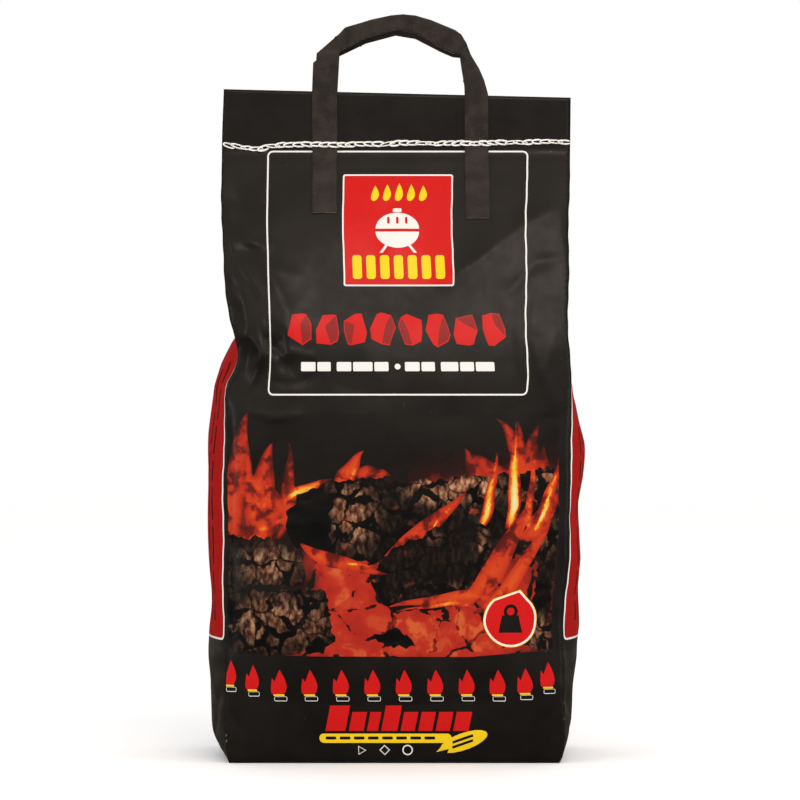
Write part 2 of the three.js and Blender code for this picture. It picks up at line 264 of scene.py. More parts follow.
@dataclass(frozen=True)
class PrintedPicture:
    """The picture on the front, as halftone print under the same varnish: coals, bark and fire."""

    paper: VarnishedPaper
    coal_size: float = 30.0
    bark_plate: float = 19.0
    grit: float = 5.2
    dark: str = "#171412"
    tone: str = "#cdcbc8"

    def finish(self, name: str, paint: Callable[[Tree], Socket]) -> Material:
        """Makes one printed area of the picture from the colours that a method paints."""
        material, tree, shader = new_material(name)
        tone = linear(self.tone)
        printed = add_node(tree, Kind.MIX, 1.0, paint(tree), tone, blend_type="MULTIPLY")
        feed(tree, shader, {"Base Color": printed})
        self.paper.surface(tree, shader)
        return material

    def warped(self, tree: Tree, size: float, by: float) -> Socket:
        """Gives coordinates pushed about by a cloud pattern, so that no cell is straight."""
        place = object_mm(tree)
        cloud = add_node(tree, Kind.CLOUD, place, 1 / size, 3.0, out=1)
        centred = add_node(tree, Kind.SHIFT, cloud, (0.5, 0.5, 0.5), operation="SUBTRACT")
        return add_node(tree, Kind.SHIFT, place, add_node(tree, Kind.LENGTHEN, centred, by))

    def coal_bed(self, tree: Tree) -> Socket:
        """Paints coals that glow where the ember field is high and go black where it is low."""
        place = self.warped(tree, 22.0, 20.0)
        ember = add_node(tree, Kind.STORED, attribute_name=Field.EMBER.value)
        gaps = add_node(tree, Kind.CELLS, place, 1 / self.coal_size)
        shade = add_node(tree, Kind.CELLS, place, 1 / self.coal_size, out=1, feature="F1")
        tone = add_node(tree, Kind.CHANNELS, shade)
        tone = add_node(tree, Kind.SPREAD, tone, 0.1, 0.8, 0.85, 1.08)
        cloud = add_node(tree, Kind.CLOUD, place, 1 / 17.0, 6.0)
        flicker = add_node(tree, Kind.SPREAD, cloud, 0.36, 0.62, 0.55, 1.0)
        glow = add_node(tree, Kind.MATHS, add_node(tree, Kind.MATHS, ember, flicker), tone)
        cloud = add_node(tree, Kind.CLOUD, place, 1 / 12.0, 3.0)
        wide = add_node(tree, Kind.SPREAD, cloud, 0.45, 0.62, 0.0, 0.06)
        crack = add_node(tree, Kind.MATHS, gaps, wide, operation="LESS_THAN")
        crack = add_node(tree, Kind.MATHS, crack, 0.6)
        glow = add_node(tree, Kind.MATHS, glow, crack, operation="SUBTRACT")
        codes = (self.dark, "#34100a", "#8a1f10", "#bf2410", "#cb3014", "#e2622c")
        return add_node(tree, Kind.RAMP, glow, stops=[*zip((0, 0.12, 0.28, 0.5, 0.8, 1), codes)])

    def bark(self, tree: Tree) -> Socket:
        """Paints ashen, cracked bark with a few glowing spots, lit where the light field is high."""
        place = self.warped(tree, 14.0, 13.0)
        light = add_node(tree, Kind.STORED, attribute_name=Field.LIGHT.value)
        ember = add_node(tree, Kind.STORED, attribute_name=Field.EMBER.value)
        plates = add_node(tree, Kind.CELLS, place, 1 / self.bark_plate)
        split = add_node(tree, Kind.CELLS, place, 1 / (self.bark_plate * 0.38))
        patch = add_node(tree, Kind.CLOUD, object_mm(tree), 1 / 16.0, 3.0)
        wide = add_node(tree, Kind.SPREAD, patch, 0.38, 0.62, 0.02, 0.13)
        deep = add_node(tree, Kind.MATHS, plates, wide, operation="SUBTRACT", use_clamp=False)
        cracks = add_node(tree, Kind.SPREAD, deep, -0.02, 0.03, 1.0, 0.0)
        narrow = add_node(tree, Kind.SPREAD, split, 0.0, 0.1, 0.75, 0.0)
        narrow = add_node(
            tree, Kind.MATHS, narrow, add_node(tree, Kind.SPREAD, patch, 0.45, 0.6)
        )
        cracks = add_node(tree, Kind.MATHS, cracks, narrow, operation="MAXIMUM")
        grit = add_node(tree, Kind.CLOUD, object_mm(tree, (1.5, 1, 0.8)), 1 / self.grit, 12.0)
        codes = ("#120b07", "#583221", "#a96a49", "#cf9a70", "#ecd2ac")
        ash = add_node(tree, Kind.RAMP, grit, stops=[*zip((0.3, 0.42, 0.52, 0.6, 0.72), codes)])
        shade = add_node(tree, Kind.CELLS, place, 1 / self.bark_plate, out=1, feature="F1")
        tone = add_node(tree, Kind.CHANNELS, shade, out=1)
        tone = add_node(tree, Kind.SPREAD, tone, 0.2, 0.9, 0.0, 0.5)
        ash = add_node(tree, Kind.MIX, tone, ash, linear("#4a2416"))
        dark = add_node(tree, Kind.SPREAD, light, 0.0, 1.0, 0.97, 0.0)
        lit = add_node(tree, Kind.MIX, dark, ash, linear("#0b0908"))
        hot = add_node(tree, Kind.CLOUD, place, 1 / 15.0, 5.0)
        hot = add_node(tree, Kind.MATHS, add_node(tree, Kind.SPREAD, hot, 0.6, 0.7), ember)
        lit = add_node(tree, Kind.MIX, hot, lit, linear("#d9502a"))
        return add_node(tree, Kind.MIX, cracks, lit, linear("#0a0807"))

    def black_coal(self, tree: Tree) -> Socket:
        """Paints a lump that has burnt black, with a dull grain."""
        seams = add_node(tree, Kind.CLOUD, object_mm(tree, (0.35, 1, 1)), 1 / 7.0, 6.0)
        stops = ((0.4, "#060505"), (0.62, "#100d0c"), (0.85, "#2b221d"))
        return add_node(tree, Kind.RAMP, seams, stops=stops)

    def fire(self, tree: Tree) -> Socket:
        """Paints flame by its heat: red at its rim, torn open by noise, yellow in its cores."""
        heat = add_node(tree, Kind.STORED, attribute_name=Field.HEAT.value)
        wisps = add_node(tree, Kind.CLOUD, self.warped(tree, 22.0, 20.0), 1 / 13.0, 4.0)
        torn = add_node(tree, Kind.SPREAD, wisps, 0.36, 0.6, 0.2, 1.15)
        whole = add_node(tree, Kind.SPREAD, heat, 0.5, 0.8, 0.0, 1.0)
        keep = add_node(tree, Kind.MATHS, torn, whole, operation="MAXIMUM")
        level = add_node(tree, Kind.MATHS, heat, keep)
        at = (0, 0.1, 0.22, 0.4, 0.55, 0.68, 0.82, 1)
        codes = ("#1f0b06", "#7c1a0b", "#c42a0c", "#e2450f", "#f46a18", "#fba722", "#ffd648")
        return add_node(tree, Kind.RAMP, level, stops=[*zip(at, (*codes, "#fff3c0"))])


@dataclass(frozen=True)
class KraftPaper:
    """Unbleached kraft: matt, brown, with short darker and lighter fibres."""

    name: str
    code: str
    fleck: str
    roughness: float = 0.8

    def material(self) -> Material:
        """Makes the paper."""
        material, tree, shader = new_material(self.name)
        code = linear(self.code)
        fibres = add_node(tree, Kind.CLOUD, object_mm(tree, (1, 1, 0.3)), 1 / 0.8, 6.0)
        clouds = add_node(tree, Kind.CLOUD, object_mm(tree), 1 / 14.0, 3.0)
        flecks = add_node(tree, Kind.SPREAD, fibres, 0.4, 0.7)
        colour = add_node(tree, Kind.MIX, flecks, code, linear(self.fleck))
        shade = add_node(tree, Kind.SPREAD, clouds, 0.35, 0.65, 0.0, 0.22)
        low, high = self.roughness - 0.06, self.roughness + 0.06
        feed(tree, shader, {
            "Base Color": add_node(tree, Kind.MIX, shade, colour, code, blend_type="MULTIPLY"),
            "Roughness": add_node(tree, Kind.SPREAD, clouds, 0.3, 0.7, low, high),
            "Normal": add_node(tree, Kind.RELIEF, 0.25, 0.12 * MM, fibres),
        })
        return material


@dataclass(frozen=True)
class DyedKraft:
    """Kraft dyed dark brown right through, rubbed paler in streaks along its fibres, fibrous at its
    cut edge.
    """

    code: str = "#29221e"
    deep: str = "#1d1815"
    rubbed: str = "#51463d"

    def face(self) -> Material:
        """Makes the strip's flat sides."""
        material, tree, shader = new_material("dark dyed kraft strip")
        clouds = add_node(tree, Kind.CLOUD, object_mm(tree), 1 / 12.0, 4.0)
        fibres = add_node(tree, Kind.CLOUD, object_mm(tree, (0.4, 1, 1)), 1 / 0.7, 5.0)
        shade = add_node(tree, Kind.SPREAD, clouds, 0.35, 0.65)
        colour = add_node(tree, Kind.MIX, shade, linear(self.code), linear(self.deep))
        rub = add_node(tree, Kind.SPREAD, fibres, 0.55, 0.75)
        rub = add_node(tree, Kind.MATHS, rub, 0.35)
        feed(tree, shader, {
            "Base Color": add_node(tree, Kind.MIX, rub, colour, linear(self.rubbed)),
            "Roughness": add_node(tree, Kind.SPREAD, fibres, 0.3, 0.7, 0.45, 0.62),
            "Specular IOR Level": 0.19,
            "Normal": add_node(tree, Kind.RELIEF, 0.35, 0.15 * MM, fibres),
        })
        return material

    def edge(self) -> Material:
        """Makes the cut edge."""
        material, tree, shader = new_material("dark kraft, cut edge")
        fibres = add_node(tree, Kind.CLOUD, object_mm(tree), 1 / 0.8, 4.0)
        stops = ((0.35, "#3d3530"), (0.65, "#8b7d6e"))
        colour = add_node(tree, Kind.RAMP, fibres, stops=stops)
        feed(tree, shader, {"Base Color": colour, "Roughness": 0.9})
        return material


@dataclass(frozen=True)
class SpunThread:
    """Spun white sewing thread: soft, a little dusty from charcoal, with painted shade greying the
    grooves of its twist.
    """

    twist: float = 1.6

    def material(self) -> Material:
        """Makes the thread."""
        material, tree, shader = new_material("spun white sewing thread")
        plies = add_node(tree, Kind.CLOUD, object_mm(tree, (1, 1, 3)), 1 / self.twist, 3.0)
        # painted shade: the ramp greys the thread where the ply relief is low, in the grooves of the
        # twist
        stops = ((0.3, "#b9b4aa"), (0.5, "#e9e6df"), (0.75, "#fbfaf6"))
        colour = add_node(tree, Kind.RAMP, plies, stops=stops)
        dust = add_node(tree, Kind.CLOUD, object_mm(tree), 1 / 18.0, 3.0)
        dust = add_node(tree, Kind.SPREAD, dust, 0.55, 0.75, 0.0, 0.35)
        feed(tree, shader, {
            "Base Color": add_node(tree, Kind.MIX, dust, colour, linear("#8d857a")),
            "Roughness": 0.75,
            "Sheen Weight": 0.3,
            "Normal": add_node(tree, Kind.RELIEF, 0.5, 0.3 * MM, plies),
        })
        return material


@dataclass(frozen=True)
class CharredWood:
    """Lump charcoal: black, silky along the grain, dull and cracked across it, dusty in patches."""

    ring: float = 2.2
    crack: float = 11.0

    def material(self) -> Material:
        """Makes the charcoal."""
        material, tree, shader = new_material("charred hardwood")
        place = object_mm(tree)
        rings = add_node(tree, Kind.CLOUD, object_mm(tree, (1, 1, 0.14)), 1 / self.ring, 5.0)
        cracks = add_node(tree, Kind.CELLS, place, 1 / self.crack)
        cracks = add_node(tree, Kind.SPREAD, cracks, 0.0, 0.06, 1.0, 0.0)
        dust = add_node(tree, Kind.CLOUD, place, 1 / 9.0, 6.0)
        dust = add_node(tree, Kind.SPREAD, dust, 0.6, 0.8, 0.0, 0.45)
        stops = ((0.3, "#060606"), (0.55, "#151414"), (0.8, "#2b2928"))
        colour = add_node(tree, Kind.RAMP, rings, stops=stops)
        colour = add_node(tree, Kind.MIX, dust, colour, linear("#4a4744"))
        split = add_node(tree, Kind.RELIEF, 0.7, 0.8 * MM, cracks, invert=True)
        feed(tree, shader, {
            "Base Color": add_node(tree, Kind.MIX, cracks, colour, linear("#030303")),
            "Roughness": add_node(tree, Kind.SPREAD, rings, 0.3, 0.7, 0.42, 0.85),
            "Normal": add_node(tree, Kind.RELIEF, 0.5, 0.4 * MM, rings, split),
        })
        return material


# ---------------------------------------------------------------- the flat print


class Ink(Enum):
    """What a printed area is finished with; the value is its material slot on the sack."""

    BLACK = 0
    WHITE = 1
    RED = 2
    DEEP_RED = 3
    YELLOW = 4
    SIDE_RED = 5
    COAL_BED = 6
    BARK = 7
    BLACK_COAL = 8
    FIRE = 9
    BARE = 10
    SIDE_BLACK = 11


@dataclass
class Shape:
    """One printed area: an ink inside an outline, in flat panel coordinates."""

    ink: Ink
    outline: list[Point]


def rounded_box(middle: Point, width: float, height: float, radius: float) -> list[Point]:
    """Draws a box with round corners.

    Args:
        middle: its centre.
        width: its full width.
        height: its full height.
        radius: of the corners.

    Returns:
        The outline, anticlockwise.
    """
    points = []
    corners = ((1, -1, -90), (1, 1, 0), (-1, 1, 90), (-1, -1, 180))
    for across, up, start in corners:
        centre_x = middle[0] + across * (width / 2 - radius)
        centre_z = middle[1] + up * (height / 2 - radius)
        for step in range(5):
            angle = math.radians(start + 22.5 * step)
            points.append(
                (centre_x + radius * math.cos(angle), centre_z + radius * math.sin(angle))
            )
    return points


def disc(middle: Point, radius: float, sides: int = 36) -> list[Point]:
    """Draws a round."""
    turns = (math.tau * i / sides for i in range(sides))
    return [(middle[0] + radius * math.cos(a), middle[1] + radius * math.sin(a)) for a in turns]


def teardrop(foot: Point, width: float, height: float, lean: float = 0.0) -> list[Point]:
    """Draws a flame's tongue: round at its foot, drawn to a point that leans to one side.

    Args:
        foot: the middle of its lowest edge.
        width: at its widest.
        height: from foot to tip.
        lean: how far the tip stands to one side.

    Returns:
        The outline, anticlockwise.
    """
    points = []
    sides = 22
    for i in range(sides):
        angle = math.tau * i / sides
        up = (1 - math.cos(angle)) / 2
        across = -math.sin(angle) * (1 - up) ** 0.55 * 0.62
        sway = lean * up**1.6 + 0.12 * width * math.sin(3.4 * up)
        points.append((foot[0] - across * width + sway, foot[1] + up * height))
    return points


def flame_mark(foot: Point, height: float) -> list[Shape]:
    """Draws a small flame of three tongues with a hollow in its foot."""
    x, z = foot
    width = 0.5 * height
    return [
        Shape(Ink.RED, teardrop((x - 0.16 * height, z), 0.6 * width, 0.66 * height, -1.2)),
        Shape(Ink.RED, teardrop((x + 0.17 * height, z), 0.62 * width, 0.78 * height, 1.0)),
        Shape(Ink.RED, teardrop((x, z), width, height, 0.1 * height)),
    ]


def pebble(middle: Point, width: float, height: float, rng: np.random.Generator) -> list[Point]:
    """Draws an angular lump by a few corners on an uneven oval."""
    corners = 8
    turns = [math.tau * (i + 0.5 * rng.uniform(-1, 1)) / corners for i in range(corners)]
    reach = [rng.uniform(0.84, 1.0) for _ in turns]
    squared = [max(abs(math.cos(a)), abs(math.sin(a))) ** -0.55 for a in turns]
    return [
        (
            middle[0] + width / 2 * r * s * math.cos(a),
            middle[1] + height / 2 * r * s * math.sin(a),
        )
        for a, r, s in zip(turns, reach, squared)
    ]


def ragged(outline: Sequence[Point], step: float, rough: float, seed: float) -> list[Point]:
    """Breaks an outline's sides into short pieces that wander off the line.

    Args:
        outline: the corners.
        step: length of a piece.
        rough: how far it wanders.
        seed: picks the pattern.

    Returns:
        The finer outline.
    """
    points = []
    for (x0, z0), (x1, z1) in zip(outline, [*outline[1:], outline[0]]):
        length = math.hypot(x1 - x0, z1 - z0)
        count = max(1, round(length / step))
        normal = ((z1 - z0) / length, (x0 - x1) / length)
        for i in range(count):
            share = i / count
            x, z = x0 + share * (x1 - x0), z0 + share * (z1 - z0)
            wander = rough * noise.noise(Vector((0.16 * x, 0.16 * z, seed)))
            wander += 0.5 * rough * noise.noise(Vector((0.45 * x, 0.45 * z, seed + 9)))
            points.append((x + normal[0] * wander, z + normal[1] * wander))
    return points


@dataclass
class Tongue:
    """One tongue of the printed fire, as a bent stroke that narrows to its tip."""

    foot: Point
    tip: Point
    width: float
    bow: float
    heat: float
    rim: float = 0.2

    def spine(self, steps: int = 14) -> list[tuple[float, float, float, float]]:
        """Walks up the stroke and gives x, z, half width and heat at each step."""
        (x0, z0), (x1, z1) = self.foot, self.tip
        length = math.hypot(x1 - x0, z1 - z0)
        side = ((z1 - z0) / length, -(x1 - x0) / length)
        path = []
        for i in range(steps + 1):
            t = i / steps
            bend = self.bow * (math.sin(math.pi * t) + 0.28 * math.sin(2.6 * math.pi * t))
            x = x0 + t * (x1 - x0) + side[0] * bend
            z = z0 + t * (z1 - z0) + side[1] * bend
            half = 0.5 * self.width * (1 - t) ** 0.75 * (0.62 + 0.9 * t * (1.35 - t))
            half *= 0.15 + 0.85 * min(1.0, 3.2 * t) ** 0.7
            warm = self.heat * (1 - 0.45 * t) * (0.5 + 0.5 * min(1.0, 4 * t))
            path.append((x, z, max(half, 0.12), warm))
        return path

    def outline(self) -> list[Point]:
        """Draws the stroke's edge, up one side and down the other."""
        path = self.spine()
        left, right = [], []
        for i, (x, z, half, _) in enumerate(path):
            x0, z0 = path[max(0, i - 1)][:2]
            x1, z1 = path[min(len(path) - 1, i + 1)][:2]
            length = math.hypot(x1 - x0, z1 - z0)
            normal = ((z1 - z0) / length, -(x1 - x0) / length)
            left.append((x - normal[0] * half, z - normal[1] * half))
            right.append((x + normal[0] * half, z + normal[1] * half))
        return right + left[::-1]


@dataclass(frozen=True)
class Spot:
    """A soft round patch of one of the picture's fields."""

    x: float
    z: float
    wide: float
    tall: float
    strength: float

    def over(self, x: np.ndarray, z: np.ndarray) -> np.ndarray:
        """Gives the patch's share at places on the panel."""
        return self.strength * np.exp(
            -(((x - self.x) / self.wide) ** 2) - ((z - self.z) / self.tall) ** 2
        )


@dataclass
class FrontPrint:
    """The print on the front and back panels, in flat millimetres: across, and up from the base."""

    seed: int = 7
    line: float = 1.3
    frame_box: Box = (-101.2, 287.6, 104.2, 483.8)
    badge_middle: Point = (1.7, 419.0)
    badge_size: tuple[float, float] = (86.4, 90.6)
    word_middle: Point = (-0.4, 339.6)
    word_length: float = 173.5
    word_height: float = 28.0
    picture_box: Box = (-136.0, 84.6, 128.0, 274.0)
    roundel_middle: Point = (93.4, 112.8)
    roundel_radius: float = 21.4
    mark_pitch: float = 24.4
    mark_foot: float = 54.6
    shapes: list[Shape] = field(default_factory=list)

    def lay(self, ink: Ink, outline: list[Point]) -> None:
        """Prints an area over everything before it."""
        self.shapes.append(Shape(ink, outline))

    def ring(self, ink: Ink, inside: Ink, outer: list[Point], inner: list[Point]) -> None:
        """Adds a closed line between two outlines."""
        self.lay(ink, outer)
        self.lay(inside, inner)

    def box_line(self, box: Box, radius: float, ink: Ink) -> None:
        """Adds a box drawn with one line."""
        left, low, right, high = box
        middle = ((left + right) / 2, (low + high) / 2)
        width, height = right - left, high - low
        inner = rounded_box(middle, width - 2 * self.line, height - 2 * self.line, radius)
        outer = rounded_box(middle, width, height, radius + self.line)
        drawn = lambda x, z: (x - (0.024 * x + 1.6) * (high - z) / height, z)
        pair = [[drawn(x, z) for x, z in part] for part in (outer, inner)]
        self.ring(ink, Ink.BLACK, *pair)

    def badge(self) -> None:
        """Adds the red badge with a plain kettle grill, small flames and yellow bars."""
        x, z = self.badge_middle
        width, height = self.badge_size
        outer = rounded_box((x, z), width, height, 1.8)
        inner = rounded_box((x, z), width - 2.4, height - 2.4, 1.0)
        self.ring(Ink.WHITE, Ink.RED, outer, inner)
        for i in range(-3, 4):
            bar = rounded_box((x + 10.8 * i, z - 30.0), 7.2, 19.0, 2.2)
            self.lay(Ink.YELLOW, bar)
            if abs(i) < 3:
                tip = teardrop((x + 9.4 * i, z + 23.5), 6.4, 14.5 - abs(i), 1.4)
                self.lay(Ink.YELLOW, tip)
        z += 2.5
        turns = np.linspace(0, math.pi, 22)
        bowl = [(x + 17 * math.cos(a), z - 4 + 13 * math.sin(a)) for a in turns - math.pi]
        lid = [(x + 17 * math.cos(a), z - 1.6 + 13 * math.sin(a)) for a in turns]
        self.lay(Ink.WHITE, bowl)
        self.lay(Ink.WHITE, lid)
        self.lay(Ink.WHITE, rounded_box((x, z + 13.4), 7.0, 3.0, 1.2))
        for side in (-1, 1):
            leg = [(x + side * 7, z - 14), (x + side * 9.4, z - 14)]
            leg += [(x + side * 14.6, z - 21), (x + side * 12.2, z - 21)]
            self.lay(Ink.WHITE, leg)
        for shift in (-7.0, 0.0, 7.0):
            vent = rounded_box((x + shift, z + 5.2), 2.0, 5.6, 0.9)
            self.lay(Ink.RED, vent)

    def lump_row(self, rng: np.random.Generator) -> None:
        """Adds a row of eight heavy red lumps, each with a deeper facet."""
        count = 8
        pitch = self.word_length / count
        for i in range(count):
            middle = (
                self.word_middle[0] + (i - (count - 1) / 2) * pitch,
                self.word_middle[1] + rng.uniform(-0.6, 0.6),
            )
            outline = pebble(middle, pitch - 1.4, self.word_height, rng)
            self.lay(Ink.RED, outline)
            start = int(rng.integers(0, len(outline)))
            near = (middle[0] + rng.uniform(-2, 2), middle[1] + rng.uniform(-4, 4))
            side = [outline[(start + k) % len(outline)] for k in range(4)]
            shrunk = [(x + 0.07 * (near[0] - x), z + 0.07 * (near[1] - z)) for x, z in side]
            self.lay(Ink.DEEP_RED, [near, *shrunk])

    def rules(self) -> None:
        """Adds the row of short white rules under the lumps, with a dot in its middle."""
        row, tall = 310.2, 7.2
        words = ((11.2, 10.3), (11.2, 15.0, 10.9), (11.4, 10.3), (13.4, 10.7, 14.4))
        x = -74.9
        for i, word in enumerate(words):
            for width in word:
                bar = rounded_box((x + width / 2, row), width, tall, 0.9)
                self.lay(Ink.WHITE, bar)
                x += width + 1.4
            x += 3.2
            if i == 1:
                self.lay(Ink.WHITE, disc((x + 2.4, row), 2.3, 16))
                x += 8.0

    def logs(self) -> list[Shape]:
        """Lays out the logs and lumps of the picture, back ones first."""
        return [
            Shape(Ink.BARK, [(-60, 163), (-12, 157), (60, 160), (127.3, 172), (127.3, 234),
                           (92, 226), (54, 225), (12, 221), (-30, 224), (-56, 219)]),
            Shape(Ink.BLACK_COAL, [(-54.9, 219), (-74.6, 210), (-82, 197.7), (-83.5, 183), (-78, 171),
                                 (-62, 165), (-47.8, 161), (-50, 182), (-47, 200)]),
            Shape(Ink.BARK, [(-136, 139.5), (-69, 140), (-68.5, 152), (-72, 168), (-96, 176),
                           (-136, 178)]),
            Shape(Ink.BARK, [(-136, 86.5), (-54, 86.5), (-45, 100), (-46, 118), (-56, 137),
                           (-90, 136), (-136, 135.5)]),
            Shape(Ink.BARK, [(-17.4, 144), (-12, 128), (2.2, 121), (29, 120.5), (56, 126),
                           (70, 133.4), (84, 151), (94, 166), (90, 184), (59.4, 189), (29, 183.4),
                           (11.2, 174.5), (-8.5, 162)]),
            Shape(Ink.BARK, [(108, 88), (127.3, 90), (127.3, 186), (117, 188), (110, 160),
                           (112, 120)]),
            Shape(Ink.BLACK_COAL, [(-17.4, 99), (2, 106.5), (14, 103), (18.5, 93), (4, 90.5)]),
        ]

    def tongues(self) -> list[list[Tongue]]:
        """Lays out the fire: behind the logs, before the back log, and round the front lump."""
        behind = [
            Tongue((-126, 168), (-113, 276), 40, -11, 0.44),
            Tongue((-122, 176), (-128, 262), 18, -4, 0.4),
            Tongue((-100, 172), (-114.5, 272), 13, -10, 0.5),
            Tongue((-104, 168), (-92, 251), 40, -8, 0.46),
            Tongue((-90, 176), (-83, 251), 18, 6, 0.42),
            Tongue((-132, 172), (-84, 214), 40, 10, 0.5),
            Tongue((-130, 210), (-76, 184), 34, -14, 0.5),
            Tongue((-118, 184), (-104, 240), 11, 6, 0.6),
            Tongue((-98, 186), (-95, 232), 8, -4, 0.62),
            Tongue((-86, 202), (-48, 221.5), 13, -4, 1.0, 0.35),
            Tongue((-112, 186), (-79, 196), 9, 5, 0.78),
            Tongue((-38, 208), (-22, 244), 22, -7, 0.6),
            Tongue((-24, 212), (-2, 222), 22, -12, 0.44),
            Tongue((-32, 212), (-27, 240), 8, -3, 0.9),
            Tongue((64, 206), (52, 246), 24, 5, 0.34),
            Tongue((84, 206), (55, 240), 26, 9, 0.36),
            Tongue((108, 180), (73, 268), 30, 16, 0.46),
            Tongue((110, 176), (113, 266), 34, -10, 0.42),
            Tongue((94, 172), (90, 268), 24, 9, 0.52),
            Tongue((128, 190), (118, 250), 26, -8, 0.42),
        ]
        before = [
            Tongue((-12, 156), (54, 213), 24, 3, 0.54, 0.5),
            Tongue((22, 180), (49, 209), 6, 1.5, 1.0, 0.4),
            Tongue((60, 178), (76.6, 244), 13, 6, 0.52),
            Tongue((61, 178), (76.2, 242), 9.5, 5, 1.15, 0.3),
            Tongue((84, 178), (90, 266), 15, 6, 1.2, 0.25),
            Tongue((105, 176), (110.5, 246), 9, -4, 0.85),
            Tongue((102, 174), (128, 240), 18, 5, 0.56),
            Tongue((104, 178), (127, 238), 10, 4, 1.15, 0.3),
            Tongue((96, 176), (126, 214), 26, 6, 0.46),
        ]
        around = [
            Tongue((50, 122), (104, 212), 27, 9, 0.5, 0.6),
            Tongue((64, 118), (120, 198), 18, 10, 0.56, 0.6),
            Tongue((84, 126), (-4, 120), 13, 8, 0.56, 0.6),
            Tongue((66, 122), (4, 118), 4.5, 5, 1.0, 0.5),
            Tongue((-72, 172), (-4, 150), 17, 5, 0.52, 0.6),
            Tongue((-40, 160), (-14, 155), 5, 2, 0.95, 0.4),
        ]
        return [behind, before, around]

    def embers(self) -> list[Spot]:
        """Lays out where the coals glow."""
        return [
            Spot(-30, 122, 26, 34, 1.0), Spot(14, 100, 60, 26, 0.95), Spot(70, 104, 40, 24, 0.9),
            Spot(98, 142, 26, 26, 0.62), Spot(-48, 158, 20, 13, 0.75), Spot(-108, 196, 26, 20, 0.6),
            Spot(-22, 180, 26, 24, 0.5), Spot(64, 208, 40, 20, 0.7), Spot(-36, 92, 40, 14, 0.7),
            Spot(112, 212, 20, 20, 0.5),
        ]

    def lights(self) -> list[Spot]:
        """Lays out where bark catches the light."""
        return [
            Spot(-34, 198, 18, 26, 1.0), Spot(30, 214, 20, 11, 0.95), Spot(60, 216, 20, 10, 1.0),
            Spot(-98, 156, 30, 14, 0.62), Spot(-100, 112, 34, 20, 0.72), Spot(-62, 108, 16, 22, 0.4),
            Spot(30, 177, 6, 6, 0.6), Spot(68, 174, 5, 12, 0.75), Spot(50, 138, 24, 5, 0.35),
            Spot(86, 177, 5, 6, 0.45), Spot(118, 176, 8, 16, 0.6), Spot(116, 100, 10, 14, 0.85),
            Spot(120, 222, 14, 8, 0.8),
        ]

    def picture(self) -> None:
        """Adds the picture: a bed of coals with logs, and fire in front of them."""
        left, low, right, high = self.picture_box
        corners = [(left, low + 2.3), (-60, low), (60, low - 0.6), (right, low + 5), (right, high)]
        self.lay(Ink.COAL_BED, [*corners, (left, high)])
        wood = [
            Shape(log.ink, ragged(log.outline, 2.6, 4.0, 3.0 * number))
            for number, log in enumerate(self.logs())
        ]
        behind, before, around = (
            [Shape(Ink.FIRE, tongue.outline()) for tongue in flames] for flames in self.tongues()
        )
        for shape in [*behind, *wood[:4], *before, *wood[4:], *around]:
            self.lay(shape.ink, [(min(max(x, left), right), z) for x, z in shape.outline])

    def roundel(self) -> None:
        """Adds the red roundel with a plain weight in it, drawn out to one corner."""
        x, z = self.roundel_middle
        for ink, rim_width in ((Ink.YELLOW, 0.0), (Ink.WHITE, 0.6), (Ink.RED, 1.9)):
            radius = self.roundel_radius - rim_width
            rim = disc((x, z), radius)
            corner = (x + 0.3 * radius, z + 1.1 * radius)
            self.lay(ink, rim[:5] + [corner] + rim[13:])
        body = [(x - 9.5, z - 10), (x + 9.5, z - 10), (x + 6.6, z + 3.6), (x - 6.6, z + 3.6)]
        self.lay(Ink.BLACK, disc((x, z + 6.6), 5.6, 24))
        self.lay(Ink.RED, disc((x, z + 6.6), 3.0, 20))
        self.lay(Ink.BLACK, body)

    def flame_border(self) -> None:
        """Adds the border of small flames, each over a yellow rule and an outlined block."""
        for i in range(-6, 6):
            x = i * self.mark_pitch + 7.4
            squeeze = 0.0023 if x > 0 else 0.001
            x -= math.copysign(squeeze * max(0.0, abs(x) - 68) ** 2, x)
            foot = self.mark_foot + 7.0 * float(smooth(np.array(abs(x)), 92, 132))
            self.shapes += flame_mark((x, foot), 19.5)
            rule = rounded_box((x + 1.0, foot - 0.5), 8.6, 1.3, 0.3)
            self.lay(Ink.YELLOW, rule)
            block = rounded_box((x + 2.4, foot - 3.4), 10.2, 3.8, 1.2)
            self.lay(Ink.WHITE, block)
            inner = rounded_box((x + 2.4, foot - 3.3), 9.4, 3.0, 0.8)
            self.lay(Ink.BLACK, inner)

    def slanted_row(self) -> None:
        """Adds the slanted red strokes, the yellow ribbon under them and three small signs."""
        widths = (15.5, 11.5, 8.5, 12.5, 11, 11, 11, 12)
        x, low, tall = -53.0, 26.0, 20.0
        for i, width in enumerate(widths):
            height = tall if i in (0, 3) else tall - 5
            slant = 0.2 * height
            stroke = [(x, low), (x + width, low), (x + width + slant, low + height)]
            self.lay(Ink.RED, [*stroke, (x + slant, low + height)])
            x += width + 2.6
        self.lay(Ink.YELLOW, rounded_box((-6.5, 20.2), 103.0, 7.4, 3.5))
        leaf = [(33.0, 9.2), (43.0, 11.6)]
        for i in range(17):
            turn = math.tau * (i / 16 * 0.86 - 0.39)
            along, over = 19.5 * math.cos(turn), 6.8 * math.sin(turn)
            leaf.append((54.5 + 0.94 * along - 0.34 * over, 17.6 + 0.34 * along + 0.94 * over))
        self.lay(Ink.YELLOW, leaf)
        for i in range(8):
            bar = rounded_box((-49 + 11 * i, 20.4), 8.4, 2.4, 0.8)
            self.lay(Ink.BLACK, bar)
        for up in (-1.8, 2.2):
            bar = [(46, 13.6 + up), (62, 19.4 + up), (61.4, 21.4 + up), (45.4, 15.6 + up)]
            self.lay(Ink.BLACK, bar)
        for middle, sides in (((-26, 10.6), 3), ((-7.4, 10.8), 4), ((10.6, 10.8), 20)):
            self.lay(Ink.WHITE, disc(middle, 4.2, sides))
            self.lay(Ink.BLACK, disc(middle, 3.2, sides))

